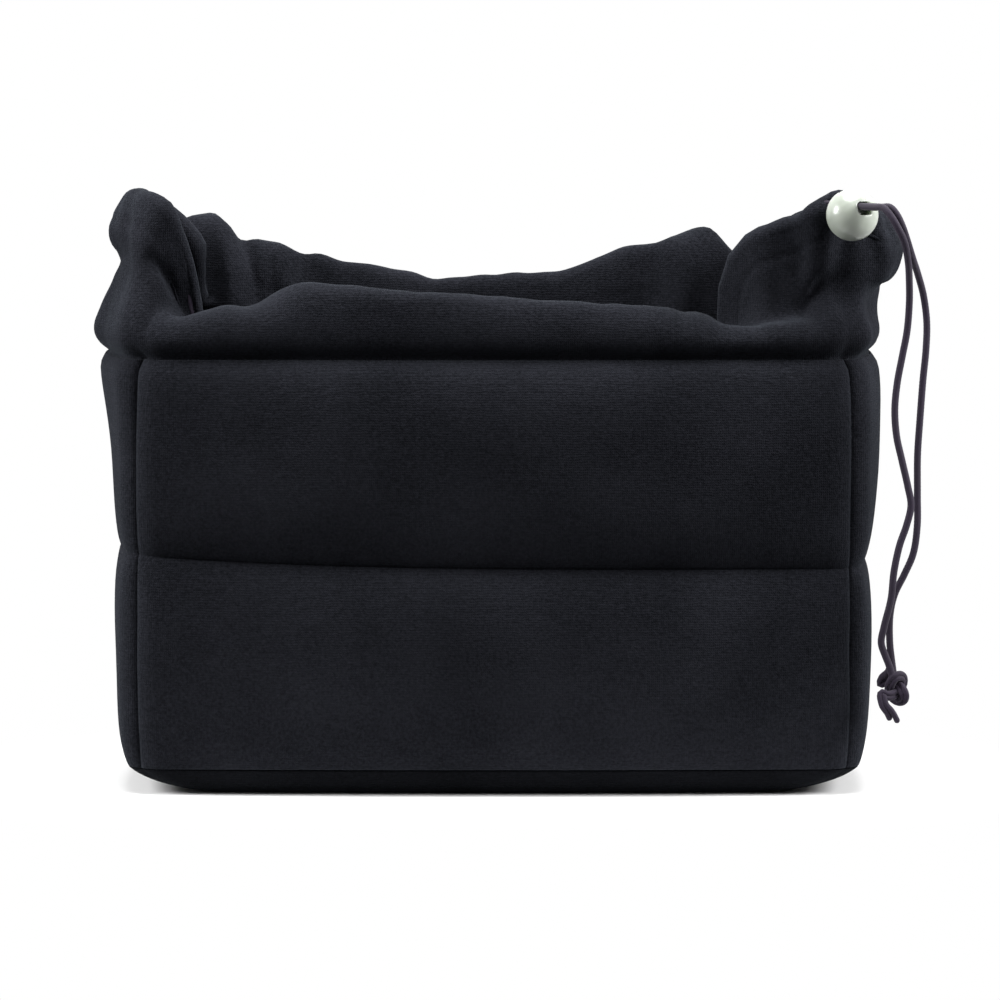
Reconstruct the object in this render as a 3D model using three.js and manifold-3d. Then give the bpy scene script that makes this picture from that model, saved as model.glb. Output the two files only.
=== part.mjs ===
// A padded insert for a camera bag: a quilted box with two loose dividers inside,
// a drawstring collar round its mouth, and a spring lock on the cord's two ends.
// Millimetres, +Z up, the front faces -Y. The origin is the centre of the flat base.
import * as THREE from "three";
import { mergeVertices } from "three/addons/utils/BufferGeometryUtils.js";
import Module from "manifold-3d";

const wasm = await Module();
wasm.setup();

// Driving dimensions of the box, from corner seam to corner seam
const boxLength = 266;
const boxDepth = 110;
const wallTop = 158;
const midSeamHeight = 82.4;
const midSeamRise = 5.2; // how much higher the middle seam runs at the left end
const bottomSeamHeight = 9;
const wallThickness = 9; // from outer to inner face at the top and bottom seams
const cornerRadius = 12;

// How far the walls bow outwards half way between their corners
const frontBow = 3;
const leftBow = { bottom: 3.2, mid: 5.2, top: 12.5 };
const rightBow = { bottom: 3.2, mid: 5.2, top: 8.5 };

// Cloth and foam layers
const skinThickness = 1.4;
const liningThickness = 1.2;
const layerGap = 0.3;
const outerCrown = 2.2; // how far a quilted pad stands out of the wall's plane
const innerCrown = 1.8;
const seamSink = 2; // how deep the middle seam pulls the outer cloth in
const edgeSink = 1.5; // the same at the top and bottom seams
const cornerSlack = 0.65; // share of a seam's sink that is lost at the corners

// The base, bevelled from the bottom seam down to the flat: [share inwards, share down]
const bevelLength = 25;
const bevelDepth = 8;
const bevelSteps = [[0, 0], [0.1, 0.22], [0.62, 0.74], [1, 1]];

// The drawstring collar
const collarThickness = 1.6;
const collarLift = 0.7; // from the walls' top to the middle of the cloth's lower edge
const hemRadius = 3.75; // from the cord's centre to the middle of the cloth
const hemPly = 8; // the turned-in cloth below the cord
const collarBaseDepth = 1.2; // from the outer face at the top seam to the cloth's middle
const rolledShares = [0.15, 0.17, 0.15, 0.13, 0.2, 0.2]; // of the cloth's height, from the seam up
const standingShares = [0.13, 0.12, 0.1, 0.1, 0.28, 0.27];

// The drawcord
const cordDiameter = 2.6;
const cordSides = 8;
const cordPairGap = 0.3;

// The cord lock
const ballRadius = 9.4;
const lockYaw = 30; // degrees, from -Y towards +X, of the way the cord leaves the lock
const cordMeeting = 6; // from the hem's mouth to where the free strands begin
const lockDistance = 15.4; // from the hem's mouth to the ball's centre
const leftBendReach = 7.6;
const rightBendReach = 7.6;
const cordHeight = 3.4; // of the cord's hole above the ball's centre
const socketRadius = 4.9;
const plungerGap = 0.3;
const plungerTravel = 1.6;
const plungerBottom = -1.6;
const plungerTop = 9.3;
const cordClearance = 0.35;
const springWire = 0.6;
const springRadius = 3.2;
const springTurns = 3.25;
const springHeight = 4;
const lockSlide = 6;

// The dividers
const dividerPlaces = [-42, 42];
const dividerHeight = 128;
const dividerThickness = 10;
const dividerCloth = 1.2;
const hookThickness = 1.6;
const hookHeight = 112;
const hookWidth = 8;

// Colours
const cloth = { color: 0x17191c, roughness: 0.95, metalness: 0 };
const lining = { color: 0x1b1d20, roughness: 0.95, metalness: 0 };
const foam = { color: 0x4a4c50, roughness: 0.9, metalness: 0 };
const hook = { color: 0x101113, roughness: 0.8, metalness: 0 };
const cord = { color: 0x1b1524, roughness: 0.7, metalness: 0 };
const milky = { color: 0xc6cec4, roughness: 0.35, metalness: 0 };
const steel = { color: 0x9a9ca0, roughness: 0.35, metalness: 1 };

const insert = new THREE.Group();
const radians = THREE.MathUtils.degToRad;

function add(name, geometry, finish, parent = insert) {
  const mesh = new THREE.Mesh(geometry, new THREE.MeshStandardMaterial(finish));
  mesh.name = name;
  parent.add(mesh);
  return mesh;
}

// A closed surface from points and triangles, turned so that its faces point out
function surface(points, triangles) {
  let volume = 0;
  const corner = (i) => new THREE.Vector3(...points[i]);
  for (const [a, b, c] of triangles) {
    volume += corner(a).dot(corner(b).cross(corner(c)));
  }
  const geometry = new THREE.BufferGeometry();
  geometry.setAttribute("position", new THREE.Float32BufferAttribute(points.flat(), 3));
  geometry.setIndex(triangles.flatMap(([a, b, c]) => (volume < 0 ? [a, c, b] : [a, b, c])));
  return geometry;
}

// Triangles that fill an outline and run the same way round as it does
function capTriangles(outline) {
  const points = outline.map(([x, y]) => new THREE.Vector2(x, y));
  const way = Math.sign(THREE.ShapeUtils.area(points));
  return THREE.ShapeUtils.triangulateShape(points, []).map(([a, b, c]) => {
    const same = Math.sign(THREE.ShapeUtils.area([points[a], points[b], points[c]])) === way;
    return same ? [a, b, c] : [a, c, b];
  });
}

// Joins rings of points into a tube: closed on itself, or capped by its outline's triangles
function loft(rings, closed, outline) {
  const size = rings[0].length;
  const triangles = [];
  const steps = closed ? rings.length : rings.length - 1;
  for (let i = 0; i < steps; i++) {
    const next = (i + 1) % rings.length;
    for (let k = 0; k < size; k++) {
      const beside = (k + 1) % size;
      const [a, b, c, d] = [i * size + k, i * size + beside, next * size + beside, next * size + k];
      // Every diagonal rises along the loft, so nested layers have the same facets
      if (rings[i][k][2] <= rings[i][beside][2]) triangles.push([a, b, c], [a, c, d]);
      else triangles.push([a, b, d], [b, c, d]);
    }
  }
  if (!closed) {
    const last = (rings.length - 1) * size;
    triangles.push(...capTriangles(outline[0]).map(([a, b, c]) => [a, c, b]));
    triangles.push(...capTriangles(outline[1]).map((corners) => corners.map((k) => last + k)));
  }
  return surface(rings.flat(), triangles);
}

function solid(geometry) {
  const bare = geometry.clone();
  bare.deleteAttribute("normal");
  bare.deleteAttribute("uv");
  const merged = mergeVertices(bare, 1e-4);
  const vertProperties = new Float32Array(merged.attributes.position.array);
  const triVerts = new Uint32Array(merged.index.array);
  return new wasm.Manifold(new wasm.Mesh({ numProp: 3, vertProperties, triVerts }));
}

function geometryOf(body) {
  const mesh = body.getMesh();
  const geometry = new THREE.BufferGeometry();
  geometry.setAttribute("position", new THREE.Float32BufferAttribute(mesh.vertProperties, 3));
  geometry.setIndex(Array.from(mesh.triVerts));
  return geometry;
}

// The four walls, each the front wall turned by quarter turns
const halfLength = boxLength / 2;
const halfDepth = boxDepth / 2;
const evenBow = { bottom: frontBow, mid: frontBow, top: frontBow };
const longSide = { half: halfLength, reach: halfDepth, bow: evenBow, segments: 8 };
const shortSide = { half: halfDepth, reach: halfLength, segments: 4 };
const walls = [
  { name: "front", ...longSide, along: [1, 0], out: [0, -1] },
  { name: "right", ...shortSide, bow: rightBow, along: [0, 1], out: [1, 0] },
  { name: "back", ...longSide, along: [-1, 0], out: [0, 1] },
  { name: "left", ...shortSide, bow: leftBow, along: [0, -1], out: [-1, 0] },
];

// The columns of a wall: place along it from -1 to 1, how far the rounded corner draws it in,
// and how much it leans towards the mitre with depth
const cornerTurns = [22.5, 45];
const fullInset = cornerRadius * (1 - Math.cos(radians(cornerTurns[1])));
function cornerColumn(wall, turn, side) {
  const inset = cornerRadius * (1 - Math.cos(radians(turn)));
  const place = wall.half - cornerRadius + cornerRadius * Math.sin(radians(turn));
  const lean = side * Math.tan(radians(turn));
  return { place: side * place, s: (side * place) / (wall.half - inset), inset, lean };
}
const straightColumn = (wall, place) => ({ place, s: place / wall.half, inset: 0, lean: 0 });
function columnsOf(wall) {
  const straight = wall.half - cornerRadius;
  const columns = [];
  for (let i = 0; i <= wall.segments; i++) {
    columns.push(straightColumn(wall, straight * ((2 * i) / wall.segments - 1)));
  }
  for (const turn of cornerTurns) {
    columns.push(cornerColumn(wall, turn, 1));
    columns.unshift(cornerColumn(wall, turn, -1));
  }
  return columns;
}
for (const wall of walls) {
  wall.columns = columnsOf(wall);
}

// A point of a wall by column, depth in from the corner seams' plane, and height
const mitreGap = 0.2;
function wallPoint(wall, column, depth, z, gap = mitreGap) {
  const a = column.place - column.lean * (depth - column.inset + gap);
  const b = wall.reach - depth;
  return [a * wall.along[0] + b * wall.out[0], a * wall.along[1] + b * wall.out[1], z];
}

function midSeamAt(wall, column) {
  const x = column.s * wall.half * wall.along[0] + wall.reach * wall.out[0];
  return midSeamHeight + midSeamRise * ((1 - x / halfLength) / 2) ** 4;
}

// Rows of a wall: t runs from -1 to 1 over the lower pad, then over the upper one
const wallFoot = bottomSeamHeight + layerGap;
const capHeight = wallTop - liningThickness;
function rowHeight(wall, column, row) {
  const mid = midSeamAt(wall, column);
  const [low, high] = row.pad === "lower" ? [wallFoot, mid] : [mid, wallTop];
  return low + ((high - low) * (row.t + 1)) / 2;
}
const shoulderT = 1 - (2 * (liningThickness + layerGap)) / (wallTop - midSeamHeight);
const foamT = 0.93;
const lowerRows = [-foamT, -0.6, 0, 0.6, foamT].map((t) => ({ pad: "lower", t }));
const upperRows = [-foamT, -0.6, 0, 0.6, shoulderT].map((t) => ({ pad: "upper", t }));
const footRow = { pad: "lower", t: -1 };
const midRow = { pad: "upper", t: -1 };
const topRow = { pad: "upper", t: 1 };
const allRows = [footRow, ...lowerRows, midRow, ...upperRows, topRow];

const fullness = (t) => (1 - Math.abs(t) ** 3) ** 0.6;
function bowAt(wall, column, z) {
  const { bottom, mid, top } = wall.bow;
  const lower = bottom + ((mid - bottom) * (z - wallFoot)) / (midSeamHeight - wallFoot);
  const upper = mid + ((top - mid) * (z - midSeamHeight)) / (wallTop - midSeamHeight);
  return (z < midSeamHeight ? lower : upper) * (1 - column.s ** 2);
}
const nearMid = (row) => (row.pad === "lower") === row.t > 0;
const innerSink = wallThickness - seamSink - skinThickness - liningThickness - layerGap;
function depths(wall, column, row) {
  const full = fullness(row.t);
  const bow = bowAt(wall, column, rowHeight(wall, column, row));
  const slack = 1 - (cornerSlack * column.inset) / fullInset;
  const edge = 1 - column.s ** 6;
  const outSink = nearMid(row) ? seamSink * slack : edgeSink;
  const inSink = nearMid(row) ? innerSink * slack : 0;
  return {
    outer: column.inset - bow + outSink * (1 - full) - outerCrown * full * edge,
    inner: wallThickness - bow - inSink * (1 - full) + innerCrown * full * edge,
  };
}

// Sweeps a profile of [depth, height] pairs along a wall, column by column
function sweepWall(wall, profile) {
  const outlines = wall.columns.map((column) => profile(column));
  const rings = outlines.map((outline, i) =>
    outline.map(([depth, z]) => wallPoint(wall, wall.columns[i], depth, z)),
  );
  return loft(rings, false, [outlines[0], outlines[outlines.length - 1]]);
}

function layer(wall, rows, near, far) {
  return sweepWall(wall, (column) => {
    const line = (depthOf) => rows.map((row) => [
      depthOf(depths(wall, column, row)),
      rowHeight(wall, column, row),
    ]);
    return [...line(near), ...line(far).reverse()];
  });
}

const foamOuter = (d) => d.outer + skinThickness + layerGap;
const foamInner = (d) => d.inner - liningThickness - layerGap;
const liningOuter = (d) => d.inner - liningThickness;
for (const wall of walls) {
  const skin = layer(wall, allRows, (d) => d.outer, (d) => d.outer + skinThickness);
  add("outer_" + wall.name, skin, cloth);
  add("foam_" + wall.name + "_lower", layer(wall, lowerRows, foamOuter, foamInner), foam);
  add("foam_" + wall.name + "_upper", layer(wall, upperRows, foamOuter, foamInner), foam);
  // The lining climbs the inner face and turns over the foam's top edge
  const lined = sweepWall(wall, (column) => {
    const height = (row) => rowHeight(wall, column, row);
    const face = allRows.map((row) => [depths(wall, column, row).inner, height(row)]);
    const back = allRows.slice(0, -1).map((row) => [liningOuter(depths(wall, column, row)), height(row)]);
    back[back.length - 1][1] = capHeight;
    const capEdge = foamOuter(depths(wall, column, topRow));
    return [...face, [capEdge, wallTop], [capEdge, capHeight], ...back.reverse()];
  });
  add("lining_" + wall.name, lined, lining);
}

// Loops of points round the whole box
function loopRound(depthOf, z) {
  return walls.flatMap((wall) =>
    wall.columns.slice(0, -1).map((column) => wallPoint(wall, column, depthOf(wall, column), z, 0)),
  );
}

// The base: rings that shrink towards the flat, by different amounts along and across
function baseRings(depth, floor, steps) {
  return steps.map(([inwards, down]) => {
    const z = bottomSeamHeight + (floor - bottomSeamHeight) * down;
    const scaleX = 1 - (inwards * bevelLength) / halfLength;
    const scaleY = 1 - (inwards * bevelDepth) / halfDepth;
    const loop = loopRound((wall, column) => depths(wall, column, footRow).outer + depth, z);
    return loop.map(([x, y]) => [x * scaleX, y * scaleY, z]);
  });
}
const rising = [...bevelSteps].reverse();
const shell = [
  ...baseRings(0, 0, rising),
  ...baseRings(skinThickness, skinThickness, bevelSteps),
];
add("outer_bottom", loft(shell, false, [shell[0], shell[shell.length - 1]]), cloth);
const padDepth = skinThickness + layerGap;
const pad = baseRings(padDepth, padDepth, rising);
add("foam_bottom", loft(pad, false, [pad[0], pad[pad.length - 1]]), foam);

// The floor lining lies on the base's foam, between the walls
const floorGap = 0.8;
const floorTop = wallFoot + liningThickness;
const floorDepth = (wall, column) => depths(wall, column, footRow).inner + floorGap;
const floorRings = [loopRound(floorDepth, wallFoot), loopRound(floorDepth, floorTop)];
add("lining_bottom", loft(floorRings, false, floorRings), lining);

// The collar's shape: the height of its cloth, how far it stands rather than rolls over, and
// the directions in degrees of its six lengths from the seam up, as seen in a section of the rim.
// 90 stands up, 0 points outwards, 180 points inwards and 270 hangs down.
const collarShape = [
  { wall: 0, s: -1, height: 60, stand: 0, ways: [66, 108, 124, 116, 92, 106] },
  { wall: 0, s: -0.89, height: 48, stand: 0, ways: [66, 120, 170, 205, 240, 250] },
  { wall: 0, s: -0.7, height: 52, stand: 0, ways: [66, 104, 162, 200, 235, 245] },
  { wall: 0, s: -0.5, height: 54, stand: 0, ways: [70, 90, 102, 150, 262, 268] },
  { wall: 0, s: -0.2, height: 50, stand: 0, ways: [70, 92, 104, 170, 268, 272] },
  { wall: 0, s: 0.2, height: 42, stand: -0.3, ways: [64, 94, 118, 178, 268, 272] },
  { wall: 0, s: 0.38, height: 38, stand: -0.5, ways: [64, 94, 120, 180, 268, 272] },
  { wall: 0, s: 0.45, height: 38, stand: -0.5, ways: [64, 96, 130, 178, 250, 258] },
  { wall: 0, s: 0.52, height: 44, stand: 0, ways: [66, 112, 154, 178, 208, 214] },
  { wall: 0, s: 0.67, height: 46, stand: 0.3, ways: [66, 120, 172, 186, 190, 180] },
  { wall: 0, s: 0.75, height: 57, stand: 1, ways: [66, 112, 176, 184, 94, 86] },
  { wall: 0, s: 0.83, height: 60, stand: 1, ways: [66, 112, 164, 160, 84, 78] },
  { wall: 0, s: 0.91, height: 64, stand: 1, ways: [66, 112, 156, 136, 74, 68] },
  { wall: 1, s: -1, height: 59, stand: 0.7, ways: [64, 108, 132, 100, 74, 76] },
  { wall: 1, s: -0.66, height: 58, stand: 0, ways: [62, 118, 62, 16, 76, 118] },
  { wall: 1, s: -0.2, height: 56, stand: 0, ways: [64, 108, 80, 44, 92, 116] },
  { wall: 1, s: 0.5, height: 54, stand: 0, ways: [68, 92, 88, 94, 100, 105] },
  { wall: 2, s: -0.93, height: 50, stand: 0, ways: [68, 98, 106, 108, 102, 96] },
  { wall: 2, s: -0.76, height: 52, stand: 0, ways: [68, 96, 108, 126, 150, 160] },
  { wall: 2, s: -0.6, height: 72, stand: 0, ways: [70, 92, 94, 108, 235, 258] },
  { wall: 2, s: -0.42, height: 62, stand: 0, ways: [70, 92, 98, 140, 264, 270] },
  { wall: 2, s: -0.15, height: 49, stand: 0, ways: [70, 92, 104, 170, 266, 272] },
  { wall: 2, s: 0.17, height: 45, stand: 0, ways: [70, 92, 104, 170, 268, 272] },
  { wall: 2, s: 0.41, height: 56, stand: 0, ways: [70, 92, 100, 160, 262, 270] },
  { wall: 2, s: 0.6, height: 47, stand: 0, ways: [68, 94, 104, 122, 150, 160] },
  { wall: 2, s: 0.83, height: 46, stand: 0, ways: [66, 102, 112, 116, 106, 100] },
  { wall: 3, s: -0.8, height: 54, stand: 0, ways: [64, 108, 120, 108, 84, 104] },
  { wall: 3, s: 0, height: 62, stand: 0, ways: [62, 112, 120, 100, 60, 130] },
];

// Distance round the box's top, from the front left corner along the front
const wallStarts = [0, boxLength, boxLength + boxDepth, 2 * boxLength + boxDepth];
const loopLength = 2 * (boxLength + boxDepth);
const travel = (wall, s) => wallStarts[wall] + (s + 1) * walls[wall].half;

// The collar's shape at any distance round, eased between the shapes named above
function shapeAt(distance) {
  const places = collarShape.map((shape) => travel(shape.wall, shape.s));
  const after = places.findIndex((place) => place > distance);
  const next = after < 0 ? 0 : after;
  const before = (next + places.length - 1) % places.length;
  const span = (places[next] - places[before] + loopLength) % loopLength;
  const part = ((distance - places[before] + loopLength) % loopLength) / span;
  const ease = THREE.MathUtils.smoothstep(part, 0, 1);
  const [from, to] = [collarShape[before], collarShape[next]];
  return {
    height: THREE.MathUtils.lerp(from.height, to.height, ease),
    stand: THREE.MathUtils.lerp(from.stand, to.stand, ease),
    ways: from.ways.map((way, i) => THREE.MathUtils.lerp(way, to.ways[i], ease)),
  };
}

// Walks from a point by [length, direction in degrees] steps, and gives each point on the way
function walk(steps) {
  const points = [[0, 0]];
  for (const [length, way] of steps) {
    const [x, y] = points[points.length - 1];
    points.push([x + length * Math.cos(radians(way)), y + length * Math.sin(radians(way))]);
  }
  return points;
}

// The outline of a strip of cloth whose middle follows the given points
function strip(points, thickness) {
  const left = [];
  const right = [];
  points.forEach(([x, y], i) => {
    const back = points[Math.max(i - 1, 0)];
    const fore = points[Math.min(i + 1, points.length - 1)];
    const before = Math.atan2(y - back[1], x - back[0]);
    const after = Math.atan2(fore[1] - y, fore[0] - x);
    const first = i === 0 ? after : before;
    const bend = Math.atan2(Math.sin(after - before), Math.cos(after - before));
    const turn = i === 0 || i === points.length - 1 ? 0 : bend;
    const way = first + turn / 2;
    const half = thickness / 2 / Math.cos(turn / 2);
    left.push([x - half * Math.sin(way), y + half * Math.cos(way)]);
    right.push([x + half * Math.sin(way), y - half * Math.cos(way)]);
  });
  return [...left, ...right.reverse()];
}

// A station of the collar: its place on the top seam, the way out from the mouth, its section
const spineHalf = halfLength - halfDepth;
const foldSteps = [0.5, 1.5, 2.5];
const foldTurn = 180 / foldSteps.length;
const plyTurn = 28;
function stationAt(wallIndex, column) {
  const wall = walls[wallIndex];
  const depth = depths(wall, column, topRow).outer + collarBaseDepth;
  const [x, y] = wallPoint(wall, column, depth, wallTop, 0);
  const spine = new THREE.Vector2(THREE.MathUtils.clamp(x, -spineHalf, spineHalf), 0);
  const out = new THREE.Vector2(x, y).sub(spine).normalize();
  const { height, stand, ways } = shapeAt(travel(wallIndex, column.s));
  const share = (i) => THREE.MathUtils.lerp(rolledShares[i], standingShares[i], stand);
  const steps = ways.map((way, i) => [height * share(i), way]);
  const last = ways[ways.length - 1];
  const chord = 2 * hemRadius * Math.sin(radians(foldTurn / 2));
  const fold = foldSteps.map((part) => [chord, last + part * foldTurn]);
  const centre = walk(steps)[steps.length];
  const hem = [
    centre[0] + hemRadius * Math.cos(radians(last + 90)),
    centre[1] + hemRadius * Math.sin(radians(last + 90)),
  ];
  const middle = walk([...steps, ...fold, [hemPly, last + 180 + plyTurn]]);
  const base = wallTop + collarLift;
  const place = ([r, z]) => [x + r * out.x, y + r * out.y, base + z];
  return { out, place, hem, section: strip(middle, collarThickness) };
}

const frontStations = [
  -128, -126, -124, -120, -113, -105, -97, -84, -71, -62, -25, 10, 34, 50, 57, 61, 65, 71, 78, 85, 88, 90, 92, 94,
  96, 98, 102, 109, 118,
];
const backStations = [-118, -110, -104, -100, -96, -92, -88, -84, -79, -72, -58, -28, 14, 48, 60, 70, 80, 94, 112];
const endStations = [-36, -12, 12, 36];
const stationPlaces = [frontStations, endStations, backStations, endStations];
function collarColumns(wall, wallIndex) {
  return [wall.columns[0], ...stationPlaces[wallIndex].map((place) => straightColumn(wall, place))];
}
const stations = walls.flatMap((wall, i) => collarColumns(wall, i).map((column) => stationAt(i, column)));
const mouthStation = collarColumns(walls[0], 0).length - 1;
const [mouthBefore, mouthAfter] = [stations[mouthStation], stations[mouthStation + 1]];

// The hem's mouth, where both ends of the cord come out, half way between two stations
const vector = (point) => new THREE.Vector3(...point);
const hemBefore = vector(mouthBefore.place(mouthBefore.hem));
const hemAfter = vector(mouthAfter.place(mouthAfter.hem));
const hemMouth = hemBefore.clone().lerp(hemAfter, 0.5);
const up = new THREE.Vector3(0, 0, 1);
const hemWay = hemAfter.clone().sub(hemBefore).setZ(0).normalize();
const hemOut = hemWay.clone().cross(up);
const hemMouthWidth = 21;
const hemMouthHeight = 4.6;
const hemMouthDepth = 5.6;
const hemMouthReach = 3.4; // from the cord's centre out to the middle of the opening

// A box that lies along a horizontal direction
function turnedBox(width, depth, height, centre, way) {
  const box = new THREE.BoxGeometry(width, depth, height);
  box.rotateZ(Math.atan2(way.y, way.x));
  return box.translate(centre.x, centre.y, centre.z);
}

const collarLoft = loft(stations.map((station) => station.section.map(station.place)), true);
const cutCentre = hemMouth.clone().addScaledVector(hemOut, hemMouthReach);
const hemCut = turnedBox(hemMouthWidth, hemMouthDepth, hemMouthHeight, cutCentre, hemWay);
add("collar", geometryOf(solid(collarLoft).subtract(solid(hemCut))), cloth);

// The lock's place in front of the hem's mouth, and the way its cords leave it
const lockOut = new THREE.Vector3(Math.sin(radians(lockYaw)), -Math.cos(radians(lockYaw)), 0);
const lockSide = new THREE.Vector3().crossVectors(up, lockOut);
const cordSpacing = (cordDiameter + cordPairGap) / 2;
const lockAxis = hemMouth.clone().addScaledVector(lockOut, lockDistance);
const ballCentre = lockAxis.clone().addScaledVector(up, -cordHeight);

// The stretch of cord inside the hem, from one end at the mouth right round to the other
const cordRing = (centre, out) =>
  Array.from({ length: cordSides }, (_, k) => {
    const turn = (2 * Math.PI * k) / cordSides;
    const r = (cordDiameter / 2) * Math.cos(turn);
    const z = (cordDiameter / 2) * Math.sin(turn);
    return [centre.x + r * out.x, centre.y + r * out.y, centre.z + z];
  });
const bendSteps = 6;
function bendRings(from, corner, to) {
  const curve = new THREE.QuadraticBezierCurve3(from, corner, to);
  return Array.from({ length: bendSteps }, (_, i) => {
    const part = (i + 1) / bendSteps;
    const way = curve.getTangent(part).setZ(0).normalize();
    return cordRing(curve.getPoint(part), way.cross(up));
  });
}
const handover = hemMouth.clone().addScaledVector(lockOut, cordMeeting);
const leftEnd = handover.clone().addScaledVector(lockSide, -cordSpacing);
const rightEnd = handover.clone().addScaledVector(lockSide, cordSpacing);
const leftBendStart = hemMouth.clone().addScaledVector(hemWay, -leftBendReach);
const leftCorner = leftEnd.clone().addScaledVector(lockOut, -leftBendReach);
const rightBendStart = hemMouth.clone().addScaledVector(hemWay, rightBendReach);
const rightCorner = rightEnd.clone().addScaledVector(lockOut, -rightBendReach);
const roundTheHem = [...stations.slice(mouthStation + 1), ...stations.slice(0, mouthStation + 1)];
const hemRings = roundTheHem.map((station) =>
  cordRing(vector(station.place(station.hem)), vector([station.out.x, station.out.y, 0])),
);
const outRings = bendRings(leftBendStart, leftCorner, leftEnd);
const inRings = bendRings(rightBendStart, rightCorner, rightEnd).reverse();
const inward = inRings.map((ring) => ring.map((_, k) => ring[(cordSides - k + cordSides / 2) % cordSides]));
const flatRing = cordRing(new THREE.Vector3(), new THREE.Vector3(1, 0, 0));
const cordCap = flatRing.map(([x, , z]) => [x, z]);
const hemCord = loft([...inward, ...hemRings, ...outRings], false, [cordCap, cordCap]);
add("drawcord_in_hem", hemCord, cord);

// The free strands: straight through the lock, then the way they hang, down to the knot
const pastTheLock = 1;
const straightRun = lockDistance + ballRadius + lockSlide + pastTheLock;
const outerHang = [
  [141.5, -81.3, 214.4],
  [143.7, -82.9, 211.9],
  [145.6, -82.7, 208],
  [147.4, -79.9, 203.2],
  [149.8, -73.2, 196.4],
  [152.4, -64.8, 189.6],
  [154.9, -58.2, 181.3],
  [156.2, -55.9, 171.9],
  [156, -55.4, 162],
  [155, -55, 151],
  [154, -55, 137],
  [153.2, -55, 124],
  [153.2, -55, 110],
  [153.2, -55, 98],
  [151.8, -55, 88],
  [148.6, -55, 80.4],
  [145.2, -55, 73.4],
  [143.6, -54.6, 66],
  [143.5, -54.3, 56],
  [144.4, -54.3, 48],
];
const innerHang = [
  [138.9, -83.1, 214.3],
  [141.3, -85.1, 211.7],
  [143.6, -85.7, 207.9],
  [146.2, -84, 202.6],
  [148, -78.2, 195.4],
  [149, -69.8, 187.6],
  [149.4, -63.6, 178.8],
  [148.8, -60.9, 168.9],
  [147.2, -60.2, 160],
  [145.4, -60, 150],
  [144.6, -60, 140.5],
  [145.3, -60, 131],
  [147.2, -60, 122.5],
  [149.4, -60, 113],
  [150.6, -60, 106],
  [149, -60, 98.6],
  [146.6, -60, 91.6],
  [144.6, -60, 82],
  [143.6, -59.6, 72],
  [141.2, -59, 62],
  [140.2, -58.4, 56],
  [141.8, -57.7, 51],
  [143, -57.5, 48],
];
const circle = (radius, sides) => {
  const shape = new THREE.Shape();
  for (let k = 0; k < sides; k++) {
    const turn = (2 * Math.PI * k) / sides;
    const corner = [radius * Math.cos(turn), radius * Math.sin(turn)];
    if (k === 0) shape.moveTo(...corner);
    else shape.lineTo(...corner);
  }
  return shape;
};
function tube(points, radius, sides, stepLength) {
  const extrudePath = new THREE.CatmullRomCurve3(points);
  const steps = Math.ceil(extrudePath.getLength() / stepLength);
  const options = { steps, extrudePath, bevelEnabled: false };
  return new THREE.ExtrudeGeometry(circle(radius, sides), options);
}
const strandStep = 2.4 * cordDiameter;
function strand(end, hang) {
  const start = end.clone().addScaledVector(lockOut, layerGap);
  const straight = [0, 0.25, 0.5, 0.75, 1].map((part) =>
    start.clone().addScaledVector(lockOut, part * (straightRun - cordMeeting)),
  );
  return tube([...straight, ...hang.map(vector)], cordDiameter / 2, cordSides, strandStep);
}
add("drawcord_strand_outer", strand(rightEnd, outerHang), cord);
add("drawcord_strand_inner", strand(leftEnd, innerHang), cord);

// The knot: both strands drawn up together in an overhand knot, and their short tail
const knotCentre = [145.1, -56, 39];
const knotScale = 1.75;
const knotDepth = 1.85;
const knotTube = 1.45;
const knotTurns = 24;
const knotReach = radians(162);
const knotStep = 1.6;
const knotPassing = 1.7; // how far the knot's two ends stand off, in front and behind
const knotLead = [[144.1, -55.9, 46.9], [143.3, -55.5, 45], [141.4, -53.6, 42.9]];
const knotTail = [[141.2, -59.9, 33.6], [143.4, -59.4, 30.6], [145.4, -57.6, 26.4]];
const knotLoop = Array.from({ length: knotTurns }, (_, i) => {
  const part = (2 * i) / (knotTurns - 1) - 1;
  const t = -knotReach * part;
  const across = knotScale * (Math.cos(t) - 2 * Math.cos(2 * t));
  const down = knotScale * (Math.sin(t) + 2 * Math.sin(2 * t));
  const deep = knotDepth * Math.sin(3 * t) - knotPassing * part ** 5;
  return new THREE.Vector3(across, deep, -down).add(vector(knotCentre));
});
const knotPath = [...knotLead.map(vector), ...knotLoop, ...knotTail.map(vector)];
add("drawcord_knot", tube(knotPath, knotTube, cordSides, knotStep), cord);

// The lock: a ball with a socket from its top and a hole across for the two strands
const lock = new THREE.Group();
lock.position.copy(ballCentre);
lock.rotation.z = radians(lockYaw);
insert.add(lock);
const cordRoom = cordDiameter + 2 * cordClearance;
const holeWidth = 2 * cordDiameter + cordPairGap + 2 * cordClearance;
const holeHeight = cordRoom + plungerTravel;
const holeTop = cordHeight + cordRoom / 2;
const socketFloor = plungerBottom - springHeight - 2 * layerGap;
function block(width, depth, low, high) {
  return new THREE.BoxGeometry(width, depth, high - low).translate(0, 0, (low + high) / 2);
}
const socketSides = 24;
const plungerSteps = 4;
const ball = new THREE.SphereGeometry(ballRadius, 28, 18).rotateX(Math.PI / 2);
const socketLength = 2 * ballRadius;
const socket = new THREE.CylinderGeometry(socketRadius, socketRadius, socketLength, socketSides);
socket.rotateX(Math.PI / 2).translate(0, 0, socketFloor + socketLength / 2);
const bodyHole = block(holeWidth, 3 * ballRadius, holeTop - holeHeight, holeTop);
const lockBody = solid(ball).subtract(solid(socket)).subtract(solid(bodyHole));
add("cord_lock_body", geometryOf(lockBody), milky, lock);

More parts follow.
